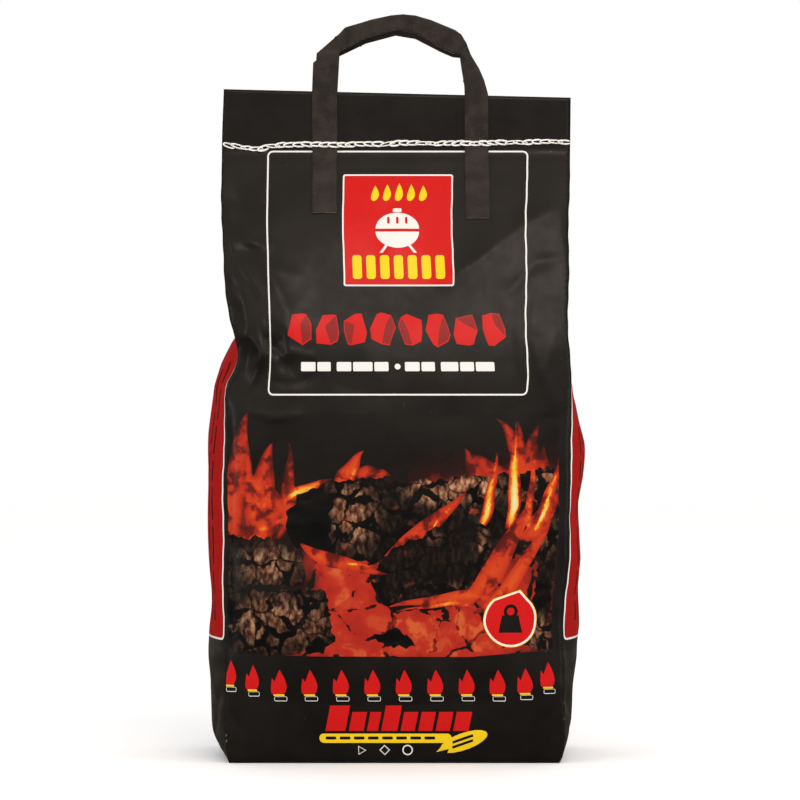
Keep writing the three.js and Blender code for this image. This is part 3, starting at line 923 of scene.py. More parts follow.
    def draw(self) -> list[Shape]:
        """Draws everything, lowest layer first.

        Returns:
            The shapes in the order in which later ones cover earlier ones.
        """
        rng = np.random.default_rng(self.seed)
        self.shapes = []
        self.box_line(self.frame_box, 3.2, Ink.WHITE)
        self.badge()
        self.lump_row(rng)
        self.rules()
        self.picture()
        self.roundel()
        self.flame_border()
        self.slanted_row()
        return self.shapes

    def fields(self, x: np.ndarray, z: np.ndarray) -> dict[Field, np.ndarray]:
        """Gives the picture's glow, light and heat at places on the panel."""
        glow = sum(spot.over(x, z) for spot in self.embers())
        light = sum(spot.over(x, z) for spot in self.lights())
        heat = np.zeros_like(x)
        for tongue in sum(self.tongues(), []):
            for sx, sz, half, warm in tongue.spine(28):
                distance = np.hypot(x - sx, z - sz)
                near = warm * np.clip(1 - (1 - tongue.rim) * (distance / half) ** 2, 0, 1)
                near = np.where(distance < 1.25 * half, near, 0)
                heat = np.maximum(heat, near)
        return {
            Field.EMBER: np.clip(glow, 0, 1),
            Field.LIGHT: np.clip(light, 0, 1),
            Field.HEAT: np.clip(heat, 0, 1),
        }


@dataclass
class SidePrint:
    """The print on a gusset: a red field in a white line, with rows of plain dark rules."""

    width: float
    low: float = 96.0
    high: float = 468.0
    margin: float = 4.0
    line: float = 1.5

    def draw(self) -> list[Shape]:
        """Draws the field and its rules, lowest layer first."""
        middle = (self.width / 2, (self.low + self.high) / 2)
        wide, tall = self.width - 2 * self.margin, self.high - self.low
        shapes = [Shape(Ink.WHITE, rounded_box(middle, wide, tall, 5.0))]
        inner = rounded_box(middle, wide - 2 * self.line, tall - 2 * self.line, 4.0)
        shapes.append(Shape(Ink.SIDE_RED, inner))
        rng = np.random.default_rng(3)
        for column in (26.0, 38.0, 92.0, 104.0):
            z = self.low + 14
            while z < 300:
                length = rng.uniform(14, 34)
                bar = rounded_box((column, z + length / 2), 3.4, length, 1.2)
                shapes.append(Shape(Ink.SIDE_BLACK, bar))
                z += length + 5
        return shapes


# ---------------------------------------------------------------- flat sheets


def anticlockwise(outline: list[Point]) -> list[Point]:
    """Gives an outline's points so that they run anticlockwise."""
    pairs = zip(outline, [*outline[1:], outline[0]])
    turning = sum(x0 * z1 - x1 * z0 for (x0, z0), (x1, z1) in pairs)
    return outline if turning > 0 else outline[::-1]


def in_steps(outline: list[Point], longest: float) -> list[Point]:
    """Gives an outline more points, so that its long sides bend with the paper."""
    points = []
    for (x0, z0), (x1, z1) in zip(outline, [*outline[1:], outline[0]]):
        count = max(1, math.ceil(math.hypot(x1 - x0, z1 - z0) / longest))
        points += [(x0 + i / count * (x1 - x0), z0 + i / count * (z1 - z0)) for i in range(count)]
    return points


@dataclass
class Sheet:
    """A flat panel cut into triangles, with the ink of each."""

    places: np.ndarray
    triangles: np.ndarray
    inks: np.ndarray


def cut_sheet(
    across: np.ndarray, up: np.ndarray, step: float, shapes: Sequence[Shape]
) -> Sheet:
    """Cuts a flat rectangle into triangles that follow the printed outlines.

    Args:
        across: places along its lower and upper edges.
        up: places along its sides.
        step: spacing of the points between.
        shapes: printed areas, lowest layer first.

    Returns:
        The cut sheet.
    """
    inset = 0.3
    left, right, low, high = across[0], across[-1], up[0], up[-1]
    rim = [(x, low) for x in across] + [(right, z) for z in up[1:]]
    rim += [(x, high) for x in across[-2::-1]] + [(left, z) for z in up[-2:0:-1]]
    points = list(rim)
    faces = [list(range(len(rim)))]
    for shape in shapes:
        outline = in_steps(anticlockwise(shape.outline), 1.5 * step)
        outline = [(min(max(x, left + inset), right - inset), z) for x, z in outline]
        faces.append(list(range(len(points), len(points) + len(outline))))
        points += outline
    rows = int((high - low) / (step * 0.87))
    for row in range(1, rows):
        z = low + (high - low) * row / rows
        count = int((right - left) / step)
        shift = 0.5 * (row % 2)
        for column in range(1, count):
            x = left + (right - left) * (column - 0.5 + shift) / count
            points.append((x, z))
    made = delaunay_2d_cdt([Vector(p) for p in points], [], faces, 1, 1e-5, True)
    inks = np.array([max(ids, default=0) for ids in made[5]])
    of_face = np.array([Ink.BLACK.value, *(shape.ink.value for shape in shapes)])
    triangles = np.array([tuple(face) for face in made[2]])
    return Sheet(np.array([tuple(p) for p in made[0]]), triangles, of_face[inks])


class Relief:
    """Dents, facets and folds over a flat panel, kept as heights on a fine grid."""

    CELL = 1.5

    def __init__(self, box: Box) -> None:
        """Lays out the grid over left, low, right and high."""
        left, low, right, high = box
        self.across = np.arange(left, right + self.CELL, self.CELL)
        self.up = np.arange(low, high + self.CELL, self.CELL)
        self.x, self.z = np.meshgrid(self.across, self.up)
        self.height = np.zeros_like(self.x)

    def facets(
        self, seed: int, spacing: float, rise: float, where: Callable[..., np.ndarray]
    ) -> None:
        """Crumples the sheet into flat facets between points of random height.

        Args:
            seed: picks the pattern.
            spacing: between the points.
            rise: the highest and lowest point.
            where: gives the share of the rise that each place takes.
        """
        rng = np.random.default_rng(seed)
        reach = 2 * spacing
        places = []
        for x in np.arange(self.across[0] - reach, self.across[-1] + reach, spacing):
            for z in np.arange(self.up[0] - reach, self.up[-1] + reach, spacing):
                shift = rng.uniform(-0.46, 0.46, 2) * spacing
                places.append((x + shift[0], z + shift[1]))
        tops = rng.uniform(-1, 1, len(places))
        made = delaunay_2d_cdt([Vector(p) for p in places], [], [], 0, 1e-5, True)
        heights = np.zeros_like(self.x)
        for corners in made[2]:
            (ax, az), (bx, bz), (cx, cz) = (made[0][i] for i in corners)
            a, b, c = (tops[made[3][i][0]] for i in corners)
            columns = slice(*np.searchsorted(self.across, (min(ax, bx, cx), max(ax, bx, cx))))
            rows = slice(*np.searchsorted(self.up, (min(az, bz, cz), max(az, bz, cz))))
            x, z = self.x[rows, columns], self.z[rows, columns]
            span = (bz - cz) * (ax - cx) + (cx - bx) * (az - cz)
            u = ((bz - cz) * (x - cx) + (cx - bx) * (z - cz)) / span
            v = ((cz - az) * (x - cx) + (ax - cx) * (z - cz)) / span
            inside = (u >= 0) & (v >= 0) & (u + v <= 1)
            flat = u * a + v * b + (1 - u - v) * c
            heights[rows, columns][inside] = flat[inside]
        self.height += rise * heights * where(self.x, self.z)

    def fold(self, path: Sequence[Point], rise: float, width: float, step: float = 0.0) -> None:
        """Adds a ridge, a valley or a one-sided step along a line that fades at its ends.

        Args:
            path: the line's corners.
            rise: height of the ridge, below zero for a valley.
            width: how far it reaches to either side.
            step: share of the rise that changes sign across the line.
        """
        lengths = [math.dist(a, b) for a, b in zip(path, path[1:])]
        total, done = sum(lengths), 0.0
        best = np.full(self.x.shape, 1e9)
        height = np.zeros_like(self.x)
        for (ax, az), (bx, bz), length in zip(path, path[1:], lengths):
            dx, dz = (bx - ax) / length, (bz - az) / length
            along = np.clip((self.x - ax) * dx + (self.z - az) * dz, 0, length)
            off_x, off_z = self.x - ax - along * dx, self.z - az - along * dz
            distance = np.hypot(off_x, off_z)
            side = np.sign(off_x * dz - off_z * dx)
            share = (done + along) / total
            fade = 1 - np.abs(2 * share - 1) ** 3
            value = rise * np.exp(-distance / width) * fade * (1 - step + step * side)
            height = np.where(distance < best, value, height)
            best = np.minimum(best, distance)
            done += length
        self.height += height

    def soften(self, passes: int) -> None:
        """Rounds every edge a little, a cell at a time."""
        for _ in range(passes):
            for axis in (0, 1):
                before, after = np.roll(self.height, 1, axis), np.roll(self.height, -1, axis)
                self.height = 0.25 * before + 0.5 * self.height + 0.25 * after

    def at(self, x: np.ndarray, z: np.ndarray) -> np.ndarray:
        """Reads heights between the grid's places."""
        column = np.clip((x - self.across[0]) / self.CELL, 0, len(self.across) - 1.001)
        row = np.clip((z - self.up[0]) / self.CELL, 0, len(self.up) - 1.001)
        i, j = column.astype(int), row.astype(int)
        s, t = column - i, row - j
        h = self.height
        low = h[j, i] * (1 - s) + h[j, i + 1] * s
        high = h[j + 1, i] * (1 - s) + h[j + 1, i + 1] * s
        return low * (1 - t) + high * t


# ---------------------------------------------------------------- the form of the sack


class Profile:
    """A smooth curve through values at a few heights, with no overshoot between them."""

    def __init__(self, *knots: Point) -> None:
        """Takes pairs of height and value, lowest first."""
        heights, values = np.array(knots, float).T
        steps = np.diff(heights)
        slopes = np.diff(values) / steps
        tangents = np.zeros(len(values))
        same = slopes[:-1] * slopes[1:] > 0
        both = slopes[:-1] + slopes[1:]
        tangents[1:-1][same] = 2 * slopes[:-1][same] * slopes[1:][same] / both[same]
        tangents[0], tangents[-1] = slopes[0], slopes[-1]
        self.heights = np.linspace(heights[0], heights[-1], 1200)
        part = np.clip(np.searchsorted(heights, self.heights) - 1, 0, len(steps) - 1)
        t = (self.heights - heights[part]) / steps[part]
        start, end = values[part], values[part + 1]
        lead, trail = tangents[part] * steps[part], tangents[part + 1] * steps[part]
        self.values = (
            (2 * t**3 - 3 * t**2 + 1) * start
            + (t**3 - 2 * t**2 + t) * lead
            + (3 * t**2 - 2 * t**3) * end
            + (t**3 - t**2) * trail
        )

    def __call__(self, z: np.ndarray) -> np.ndarray:
        """Reads the curve."""
        return np.interp(z, self.heights, self.values)


def smooth(value: np.ndarray, low: float, high: float) -> np.ndarray:
    """Rises smoothly from 0 at low to 1 at high."""
    share = np.clip((value - low) / (high - low), 0, 1)
    return share * share * (3 - 2 * share)


@dataclass
class SackForm:
    """Where the folded paper stands: the creases, gusset folds and crowns of the filled sack."""

    height: float
    panel: float = 280.0
    gusset: float = 130.0
    band: float = 485.0
    edge_turn: float = 0.028
    most_relief: float = 6.0

    def __post_init__(self) -> None:
        """Sets the curves of the creases and folds, and the crumples of each panel."""
        top = self.height
        self.depth = Profile(
            (0, 58), (3, 60.2), (28, 62), (80, 62.5), (160, 62), (240, 61), (286, 58.5),
            (316, 55), (338, 51), (358, 46), (402, 33), (446, 17), (473, 6.2), (485, 2.4), (top, 2.2),
        )
        self.crown = Profile(
            (0, 0), (4, 1), (28, 5), (80, 9), (160, 11), (240, 10), (286, 8), (338, 5),
            (402, 3), (446, 2), (473, 0.8), (485, 0.1), (top, 0.1),
        )
        self.left = Profile(
            (0, -130.5), (6, -132), (30, -133), (84, -132), (240, -132), (276, -132.5),
            (294, -132), (310, -125), (320, -124), (335, -127.5), (352, -131.5),
            (390, -136), (430, -138.6), (485, -139.5), (top, -138),
        )
        self.left_core = Profile(
            (0, -130.5), (6, -133), (30, -135.5), (100, -136), (240, -136), (300, -133.5),
            (340, -133), (390, -136), (430, -138.6), (485, -139.5), (top, -138),
        )
        self.right = Profile(
            (0, 128), (6, 130.5), (30, 132), (60, 131.5), (101, 129), (122, 129.5), (159, 133),
            (200, 135), (243, 134), (274, 136.5), (300, 137), (340, 135.5), (390, 136.5),
            (430, 137.5), (485, 139.5), (top, 140),
        )
        self.left_reach = Profile(
            (0, -133), (6, -141), (22, -147.6), (63, -150.8), (80, -152), (99, -150.8),
            (128, -146.8), (156, -149.2), (204, -151.6), (236, -151.6), (289, -146), (308, -142),
            (328, -133), (337, -126), (352, -98), (372, -87), (402, -79), (446, -75),
            (485, -75), (top, -75),
        )
        self.right_reach = Profile(
            (0, 131), (6, 134), (16, 137), (31.5, 140.8), (60, 142), (86, 142.8), (108, 145.2),
            (156, 145.5), (189, 146), (226, 148.4), (246, 149.6), (267, 144.4), (290, 140),
            (300, 136.6), (316, 131), (338, 108), (358, 93), (402, 80), (446, 75), (485, 75),
            (top, 75),
        )
        self.belly = Profile((0, 0), (20, 2), (90, 4), (240, 4), (300, 2), (330, 0), (top, 0))
        self.front_relief = self.crumple_front()
        self.back_relief = self.crumple_back()
        self.side_reliefs = {side: self.crumple_side(side) for side in (-1, 1)}

    def panel_grid(self) -> Relief:
        """Gives a smooth panel to crumple."""
        half = self.panel / 2
        return Relief((-half, 0.0, half, self.height))

    @staticmethod
    def body(_: np.ndarray, z: np.ndarray) -> np.ndarray:
        """Gives the share of crumples that the filled body takes."""
        return smooth(z, 4, 40) * (1 - smooth(z, 270, 350))

    @staticmethod
    def head(_: np.ndarray, z: np.ndarray) -> np.ndarray:
        """Gives the share of crumples that the flattened head takes."""
        return smooth(z, 330, 380) * (1 - smooth(z, 455, 486))

    def crumple_front(self) -> Relief:
        """Crumples the front: lumps press the body, the neck buckles, the head sags in long folds."""
        relief = self.panel_grid()
        pinch = lambda x, z: np.exp(-(((x + 118) / 36) ** 2) - ((z - 332) / 42) ** 2)
        edge = lambda x, z: np.exp(-(((x + 132) / 24) ** 2)) * smooth(z, 300, 360) * (
            1 - smooth(z, 440, 486)
        )
        relief.facets(11, 62, 2.0, self.body)
        relief.facets(12, 27, 0.55, self.body)
        relief.facets(13, 84, 3.0, self.head)
        relief.facets(14, 30, 0.6, self.head)
        relief.facets(16, 17, 1.8, edge)
        relief.soften(2)
        relief.facets(15, 24, 8.0, pinch)
        ridges = (
            ([(-138, 412), (-110, 371), (-104, 330), (-92, 300)], 3.2, 4),
            ([(-127, 362), (-112, 321), (-125, 303)], 4.2, 3.5),
            ([(-112, 367), (-104, 341), (-97, 318), (-84, 296)], -2.6, 3.5),
            ([(-122, 277), (-96, 270), (-72, 273)], 1.6, 3),
            ([(-139, 408), (-118, 409), (-100, 404)], 1.8, 3),
            ([(-100, 312), (-84, 322), (-62, 316)], 1.6, 3),
            ([(-104, 300), (-86, 296), (-58, 304)], -1.8, 3),
            ([(10, 428), (-8, 400), (-4, 384)], 0.8, 5),
            ([(-112, 404), (-96, 372), (-86, 330), (-84, 312)], 4.5, 9),
            ([(-124, 352), (-108, 334), (-92, 318), (-78, 300)], -4.0, 5),
            ([(-130, 372), (-118, 346), (-112, 318), (-118, 292)], 3.5, 5),
            ([(-138, 420), (-116, 402), (-92, 396)], -1.6, 5),
            ([(-139, 448), (-112, 436), (-98, 440)], -1.2, 5),
            ([(-138, 396), (-112, 392), (-70, 380)], 1.5, 8),
            ([(138, 442), (104, 424), (62, 392), (30, 372)], 2.6, 14),
            ([(136, 398), (110, 392), (84, 362)], -1.8, 9),
            ([(112, 372), (108, 330), (112, 296)], 0.9, 3),
            ([(92, 362), (90, 320), (94, 286)], -0.8, 3),
            ([(128, 340), (116, 306), (126, 270)], 1.4, 7),
            ([(-60, 300), (-10, 286), (40, 292)], -0.9, 12),
            ([(-136, 74), (-118, 60), (-96, 52)], -1.2, 5),
            ([(-134, 44), (-126, 26), (-129, 4)], -2.2, 5),
            ([(134, 60), (124, 34), (126, 4)], -1.8, 5),
            ([(-120, 50), (0, 46), (118, 52)], -0.7, 3),
        )
        for path, rise, width in ridges:
            relief.fold(path, rise, width)
        return relief

    def crumple_back(self) -> Relief:
        """Crumples the back, as the front but in another pattern."""
        relief = self.panel_grid()
        neck = lambda x, z: np.exp(-(((np.abs(x) - 112) / 34) ** 2) - ((z - 320) / 36) ** 2)
        relief.facets(31, 60, 2.2, self.body)
        relief.facets(32, 26, 0.6, self.body)
        relief.facets(33, 80, 3.0, self.head)
        relief.facets(34, 22, 4.0, neck)
        relief.soften(2)
        relief.fold([(-130, 430), (-80, 400), (-20, 384)], 2.2, 12)
        relief.fold([(128, 400), (96, 352), (88, 310)], -3.0, 7)
        relief.fold([(-120, 50), (0, 46), (118, 52)], -0.7, 3)
        relief.soften(1)
        return relief

    def crumple_side(self, side: int) -> Relief:
        """Crumples a gusset, most where it turns from bulging to tucked."""
        relief = Relief((0.0, 0.0, self.gusset, self.height))
        body = lambda x, z: smooth(z, 6, 40) * (1 - smooth(z, 300, 345))
        turn = 330 if side < 0 else 300
        neck = lambda x, z: np.exp(-(((z - turn) / 30) ** 2))
        relief.facets(41 + side, 34, 2.2, body)
        relief.facets(43 + side, 20, 1.2, neck)
        relief.soften(2)
        relief.fold([(0, 62), (30, 34), (65, 4)], -2.0, 4)
        relief.fold([(130, 62), (100, 34), (65, 4)], -2.0, 4)
        relief.soften(1)
        return relief

    def crease(self, z: np.ndarray, side: int) -> np.ndarray:
        """Gives how far a panel's crease stands to the left or right."""
        wave = 0.4 * np.sin(z * 0.083 + side) + 0.2 * np.sin(z * 0.31 + 2 * side)
        calm = smooth(z, 8, 60) * (1 - smooth(z, 440, 485))
        return (self.left(z) if side < 0 else self.right(z)) + wave * calm

    def panel_at(self, u: np.ndarray, z: np.ndarray, facing: int = -1) -> np.ndarray:
        """Places points of the front or back panel.

        Args:
            u: across the flat panel, to the right of someone facing it.
            z: height.
            facing: -1 for the front, 1 for the back.

        Returns:
            Places in millimetres, one row each.
        """
        across = -facing * 2 * u / self.panel
        turned = self.edge_turn * (1 - smooth(z, 300, self.band))
        drawn_in = (across - turned * across**9) / (1 - turned)
        s = (drawn_in + 1) / 2
        left, right = self.crease(z, -1), self.crease(z, 1)
        core_left = self.left_core(z)
        x = core_left + s * (right - core_left)
        x = x + (left - core_left) * (1 - smooth(s, 0.0, 0.16))
        bulge = 0.45 * (1 - across**2) + 0.55 * (1 - across**8)
        out = self.depth(z) + self.crown(z) * bulge
        near_edge = smooth(1 - np.abs(across), 0.0, 0.05) * smooth(z, 0.0, 6.0)
        relief = self.front_relief if facing < 0 else self.back_relief
        room = self.gap((1 - np.abs(across)) * self.panel / self.gusset, z)
        out = out + np.clip(near_edge * relief.at(u, z), -0.45 * room, self.most_relief)
        return np.column_stack((x, facing * out, self.tilted(x, z)))

    def gusset_at(self, t: np.ndarray, z: np.ndarray, side: int) -> np.ndarray:
        """Places points of a gusset.

        Args:
            t: across the flat gusset, from the front crease to the back one.
            z: height.
            side: -1 for the left one, 1 for the right.

        Returns:
            Places in millimetres, one row each.
        """
        half = self.gusset / 2
        a = t / half - 1
        round_off = 0.03
        rounded = (np.sqrt(a**2 + round_off**2) - round_off) / (
            math.sqrt(1 + round_off**2) - round_off
        )
        crease = self.crease(z, side)
        reach = self.left_reach(z) if side < 0 else self.right_reach(z)
        x = crease + (reach - crease) * (1 - rounded)
        x = x + side * self.belly(z) * 4 * rounded * (1 - rounded)
        near_edge = smooth(1 - np.abs(a), 0.0, 0.12) * smooth(z, 0.0, 8.0)
        x = x + side * near_edge * self.side_reliefs[side].at(t, z)
        opened = a * np.abs(a) ** (2 * smooth(z, 380, 460))
        return np.column_stack((x, opened * self.depth(z), self.tilted(x, z)))

    def gap(self, share: np.ndarray, z: np.ndarray) -> np.ndarray:
        """Gives the room between a panel and the gusset behind it.

        Args:
            share: of the way from the crease to the gusset's fold, 1 past it.
            z: height.
        """
        return self.depth(z) * np.clip(share, 0, 1)

    def base_at(self, u: np.ndarray, w: np.ndarray) -> np.ndarray:
        """Places points of the flat underside, from flat places across and towards the back."""
        floor = np.zeros_like(u)
        t = w + self.gusset / 2
        left = self.gusset_at(t, floor, -1)
        right = self.gusset_at(t, floor, 1)
        share = ((u + self.panel / 2) / self.panel)[:, None]
        return left + share * (right - left)

    def folded(
        self, sheets: Sequence[Sheet], spare: float = 0.0
    ) -> tuple[np.ndarray, np.ndarray, np.ndarray, np.ndarray]:
        """Folds the flat sheets of one ply into place, without merging them.

        Args:
            sheets: front, back, one gusset for both sides, and base.
            spare: added to the share of the way from a crease, where room is measured.

        Returns:
            Places, triangles and inks of all panels, and the room behind each place.
        """
        front, back, flank, base = sheets
        parts, gaps = [], []
        for sheet, facing in ((front, -1), (back, 1)):
            u, z = sheet.places.T
            parts.append((self.panel_at(u, z, facing), sheet.triangles, sheet.inks))
            share = (self.panel / 2 - np.abs(u)) / (self.gusset / 2)
            gaps.append(self.gap(share + spare, z))
        for side in (-1, 1):
            t, z = flank.places.T
            parts.append((self.gusset_at(t, z, side), flank.triangles[:, ::side], flank.inks))
            gaps.append(self.gap(1 - np.abs(2 * t / self.gusset - 1) + spare, z))
        u, w = base.places.T
        parts.append((self.base_at(u, w), base.triangles[:, ::-1], base.inks))
        gaps.append(np.full(len(u), self.gusset))
        places, triangles, inks = zip(*parts)
        starts = np.cumsum([0, *(len(spots) for spots in places)])
        faces = [part + start for part, start in zip(triangles, starts)]
        return np.vstack(places), np.vstack(faces), np.concatenate(inks), np.concatenate(gaps)

    def tilted(self, x: np.ndarray, z: np.ndarray) -> np.ndarray:
        """Lets the cut edge of the mouth fall slightly to the right."""
        return z + (0.8 - 0.0245 * x) * smooth(z, self.band, self.height)


# ---------------------------------------------------------------- mesh helpers


def in_scene(name: str, data: bpy.types.ID) -> Piece:
    """Puts a mesh, lamp or camera into the scene as an object at the origin."""
    made = bpy.data.objects.new(name, data)
    bpy.context.scene.collection.objects.link(made)
    return made


def mesh_object(
    name: str,
    places: np.ndarray,
    triangles: np.ndarray,
    materials: Sequence[Material],
    slots: np.ndarray | None = None,
) -> Piece:
    """Makes an object at the origin from places in millimetres.

    Args:
        name: the piece's name.
        places: one row for each point.
        triangles: rows of point numbers.
        materials: the slots' materials.
        slots: slot of each triangle.

    Returns:
        The object, in the scene.
    """
    mesh = bpy.data.meshes.new(name)
    mesh.from_pydata((places * MM).tolist(), [], triangles.tolist())
    for material in materials:
        mesh.materials.append(material)
    if slots is not None:
        mesh.polygons.foreach_set("material_index", slots.astype(np.int32))
    mesh.shade_smooth()
    return in_scene(name, mesh)


def merge_close(piece: Piece, distance: float) -> None:
    """Merges points that lie on each other, so that sheets become one surface."""
    work = bmesh.new()
    work.from_mesh(piece.data)
    bmesh.ops.remove_doubles(work, verts=work.verts, dist=distance * MM)
    work.to_mesh(piece.data)
    work.free()
    piece.data.shade_smooth()


def finished_mesh(piece: Piece) -> Piece:
    """Turns a piece with modifiers into a plain mesh with the same name."""
    graph = bpy.context.evaluated_depsgraph_get()
    mesh = bpy.data.meshes.new_from_object(piece.evaluated_get(graph))
    piece.modifiers.clear()
    old = piece.data
    if isinstance(old, bpy.types.Mesh):
        piece.data = mesh
        bpy.data.meshes.remove(old)
        mesh.name = piece.name
        return piece
    name = piece.name
    bpy.data.objects.remove(piece)
    return in_scene(name, mesh)


def read_mesh(piece: Piece) -> tuple[np.ndarray, np.ndarray, np.ndarray, np.ndarray]:
    """Reads places in millimetres, normals, triangles and slots of a mesh of triangles."""
    mesh = piece.data
    count = len(mesh.vertices)
    places, normals = np.empty(count * 3), np.empty(count * 3)
    mesh.vertices.foreach_get("co", places)
    mesh.vertex_normals.foreach_get("vector", normals)
    corners = np.empty(len(mesh.loops), np.int32)
    mesh.loops.foreach_get("vertex_index", corners)
    slots = np.empty(len(mesh.polygons), np.int32)
    mesh.polygons.foreach_get("material_index", slots)
    return places.reshape(-1, 3) / MM, normals.reshape(-1, 3), corners.reshape(-1, 3), slots


def get_field(piece: Piece, name: Field) -> np.ndarray:
    """Reads a value that is stored at each point."""
    values = np.empty(len(piece.data.vertices), np.float32)
    piece.data.attributes[name.value].data.foreach_get("value", values)
    return values


def with_wall(piece: Piece, wall: np.ndarray, bare: int) -> None:
    """Gives a sheet its thickness, inwards.

    Args:
        piece: the sheet, which is replaced by one with a wall.
        wall: thickness at each point, in millimetres.
        bare: slot of the inner side and the cut edge.
    """
    places, normals, triangles, slots = read_mesh(piece)
    kept = {name: get_field(piece, name) for name in Field if name.value in piece.data.attributes}
    count = len(places)
    ways = np.vstack([triangles[:, [i, (i + 1) % 3]] for i in range(3)])
    codes = ways[:, 0].astype(np.int64) * count + ways[:, 1]
    back = ways[:, 1].astype(np.int64) * count + ways[:, 0]
    a, b = ways[~np.isin(codes, back)].T
    rim = np.vstack((np.column_stack((b, a, a + count)), np.column_stack((b, a + count, b + count))))
    all_triangles = np.vstack((triangles, triangles[:, ::-1] + count, rim))
    all_places = np.vstack((places, places - normals * wall[:, None]))
    all_slots = np.concatenate((slots, np.full(len(slots) + len(rim), bare)))
    old = piece.data
    made = mesh_object(piece.name, all_places, all_triangles, list(old.materials), all_slots)
    rounded = np.arange(len(all_triangles)) < 2 * len(triangles)
    made.data.polygons.foreach_set("use_smooth", rounded)
    piece.data = made.data
    bpy.data.objects.remove(made)
    bpy.data.meshes.remove(old)
    piece.data.name = piece.name
    for name, values in kept.items():
        set_field(piece, name, np.tile(values, 2))


def set_field(piece: Piece, name: Field, values: np.ndarray) -> None:
    """Stores a value at each point of a piece."""
    stored = piece.data.attributes.new(name.value, "FLOAT", "POINT")
    stored.data.foreach_set("value", values.astype(np.float32))


# ---------------------------------------------------------------- the sack


@dataclass
class PaperSack:
    """The outer ply: front, back, two gussets and the base, cut flat, printed and folded."""

    form: SackForm
    wall: float = 0.35
    front_step: float = 3.1
    back_step: float = 4.9
    side_step: float = 4.4
    base_step: float = 8.0
    stretch: float = 1.022

    def inks(self) -> list[Material]:
        """Makes the finish of each ink, in the order of the Ink numbers."""
        paper = VarnishedPaper()
        rubbed = VarnishedPaper(gloss=0.015, roughness=0.65, varnish=0.0)
        picture = PrintedPicture(paper)
        bare, tree, shader = new_material("kraft paper, cut edge and inside")
        feed(tree, shader, {"Base Color": linear("#8c6f4e"), "Roughness": 0.85})
        made = {
            Ink.BLACK: paper.ground("varnished black sack paper", "#151210", "#100d0b"),
            Ink.WHITE: paper.ink("white ink under varnish", "#d3d0ca"),
            Ink.RED: paper.ink("warm red ink under varnish", "#b80402"),
            Ink.DEEP_RED: paper.ink("deep red ink under varnish", "#7c100b"),
            Ink.YELLOW: paper.ink("yellow ink under varnish", "#dcb80e"),
            Ink.SIDE_RED: rubbed.ink("gusset red ink, rubbed dull", "#90100d"),
            Ink.COAL_BED: picture.finish("halftone print of embers", picture.coal_bed),
            Ink.BARK: picture.finish("halftone print of ashen bark", picture.bark),
            Ink.BLACK_COAL: picture.finish("halftone print of charcoal", picture.black_coal),
            Ink.FIRE: picture.finish("halftone print of flames", picture.fire),
            Ink.BARE: bare,
            Ink.SIDE_BLACK: rubbed.ink("gusset dark ink, rubbed dull", "#380d0a"),
        }
        return [made[ink] for ink in Ink]

    def build(self) -> Piece:
        """Cuts, prints, folds and joins the panels."""
        form = self.form
        half, deep = form.panel / 2, form.gusset
        across = np.linspace(-half, half, 81)
        through = np.linspace(0, deep, 31)
        up = np.array([0.0, 1.5, 3.0, 5.0, 7.5, *np.linspace(10.5, form.height, 140)])
        printed = FrontPrint()
        shapes = [self.stretched(shape) for shape in printed.draw()]
        sheets = (
            cut_sheet(across, up, self.front_step, shapes),
            cut_sheet(across, up, self.back_step, shapes),
            cut_sheet(through, up, self.side_step, SidePrint(deep).draw()),
            cut_sheet(across, through - deep / 2, self.base_step, []),
        )
        places, triangles, slots, gaps = form.folded(sheets)
        piece = mesh_object("paper_sack", places, triangles, self.inks(), slots)
        drawn = np.vstack([sheet.places for sheet in sheets[:2]])
        fields = printed.fields(drawn[:, 0] / self.stretch, drawn[:, 1])
        for name, values in fields.items():
            set_field(piece, name, np.pad(values, (0, len(places) - len(drawn))))
        set_field(piece, Field.WEAR, self.wear(places))
        set_field(piece, Field.GAP, gaps)
        merge_close(piece, 0.02)
        wall = np.minimum(self.wall, 0.25 * get_field(piece, Field.GAP) + 0.01)
        with_wall(piece, wall, Ink.BARE.value)
        return piece

    def stretched(self, shape: Shape) -> Shape:
        """Draws a shape as wide as it is on the flat paper, before the filled sack draws it in."""
        return Shape(shape.ink, [(x * self.stretch, z) for x, z in shape.outline])

    def wear(self, places: np.ndarray) -> np.ndarray:
        """Gives how rubbed the paper is: along its creases and the lower corners."""
        x, y, z = places.T
        left, right = self.form.crease(z, -1), self.form.crease(z, 1)
        beside = np.minimum(np.abs(x - left), np.abs(x - right)) / 2.2
        ahead = np.abs(np.abs(y) - self.form.depth(z)) / 2.2
        rub = np.exp(-(beside**2) - ahead**2)
        return rub * (0.45 + 0.25 * smooth(-z, -90, -10)) + rub * 0.2 * smooth(z, 400, 480)


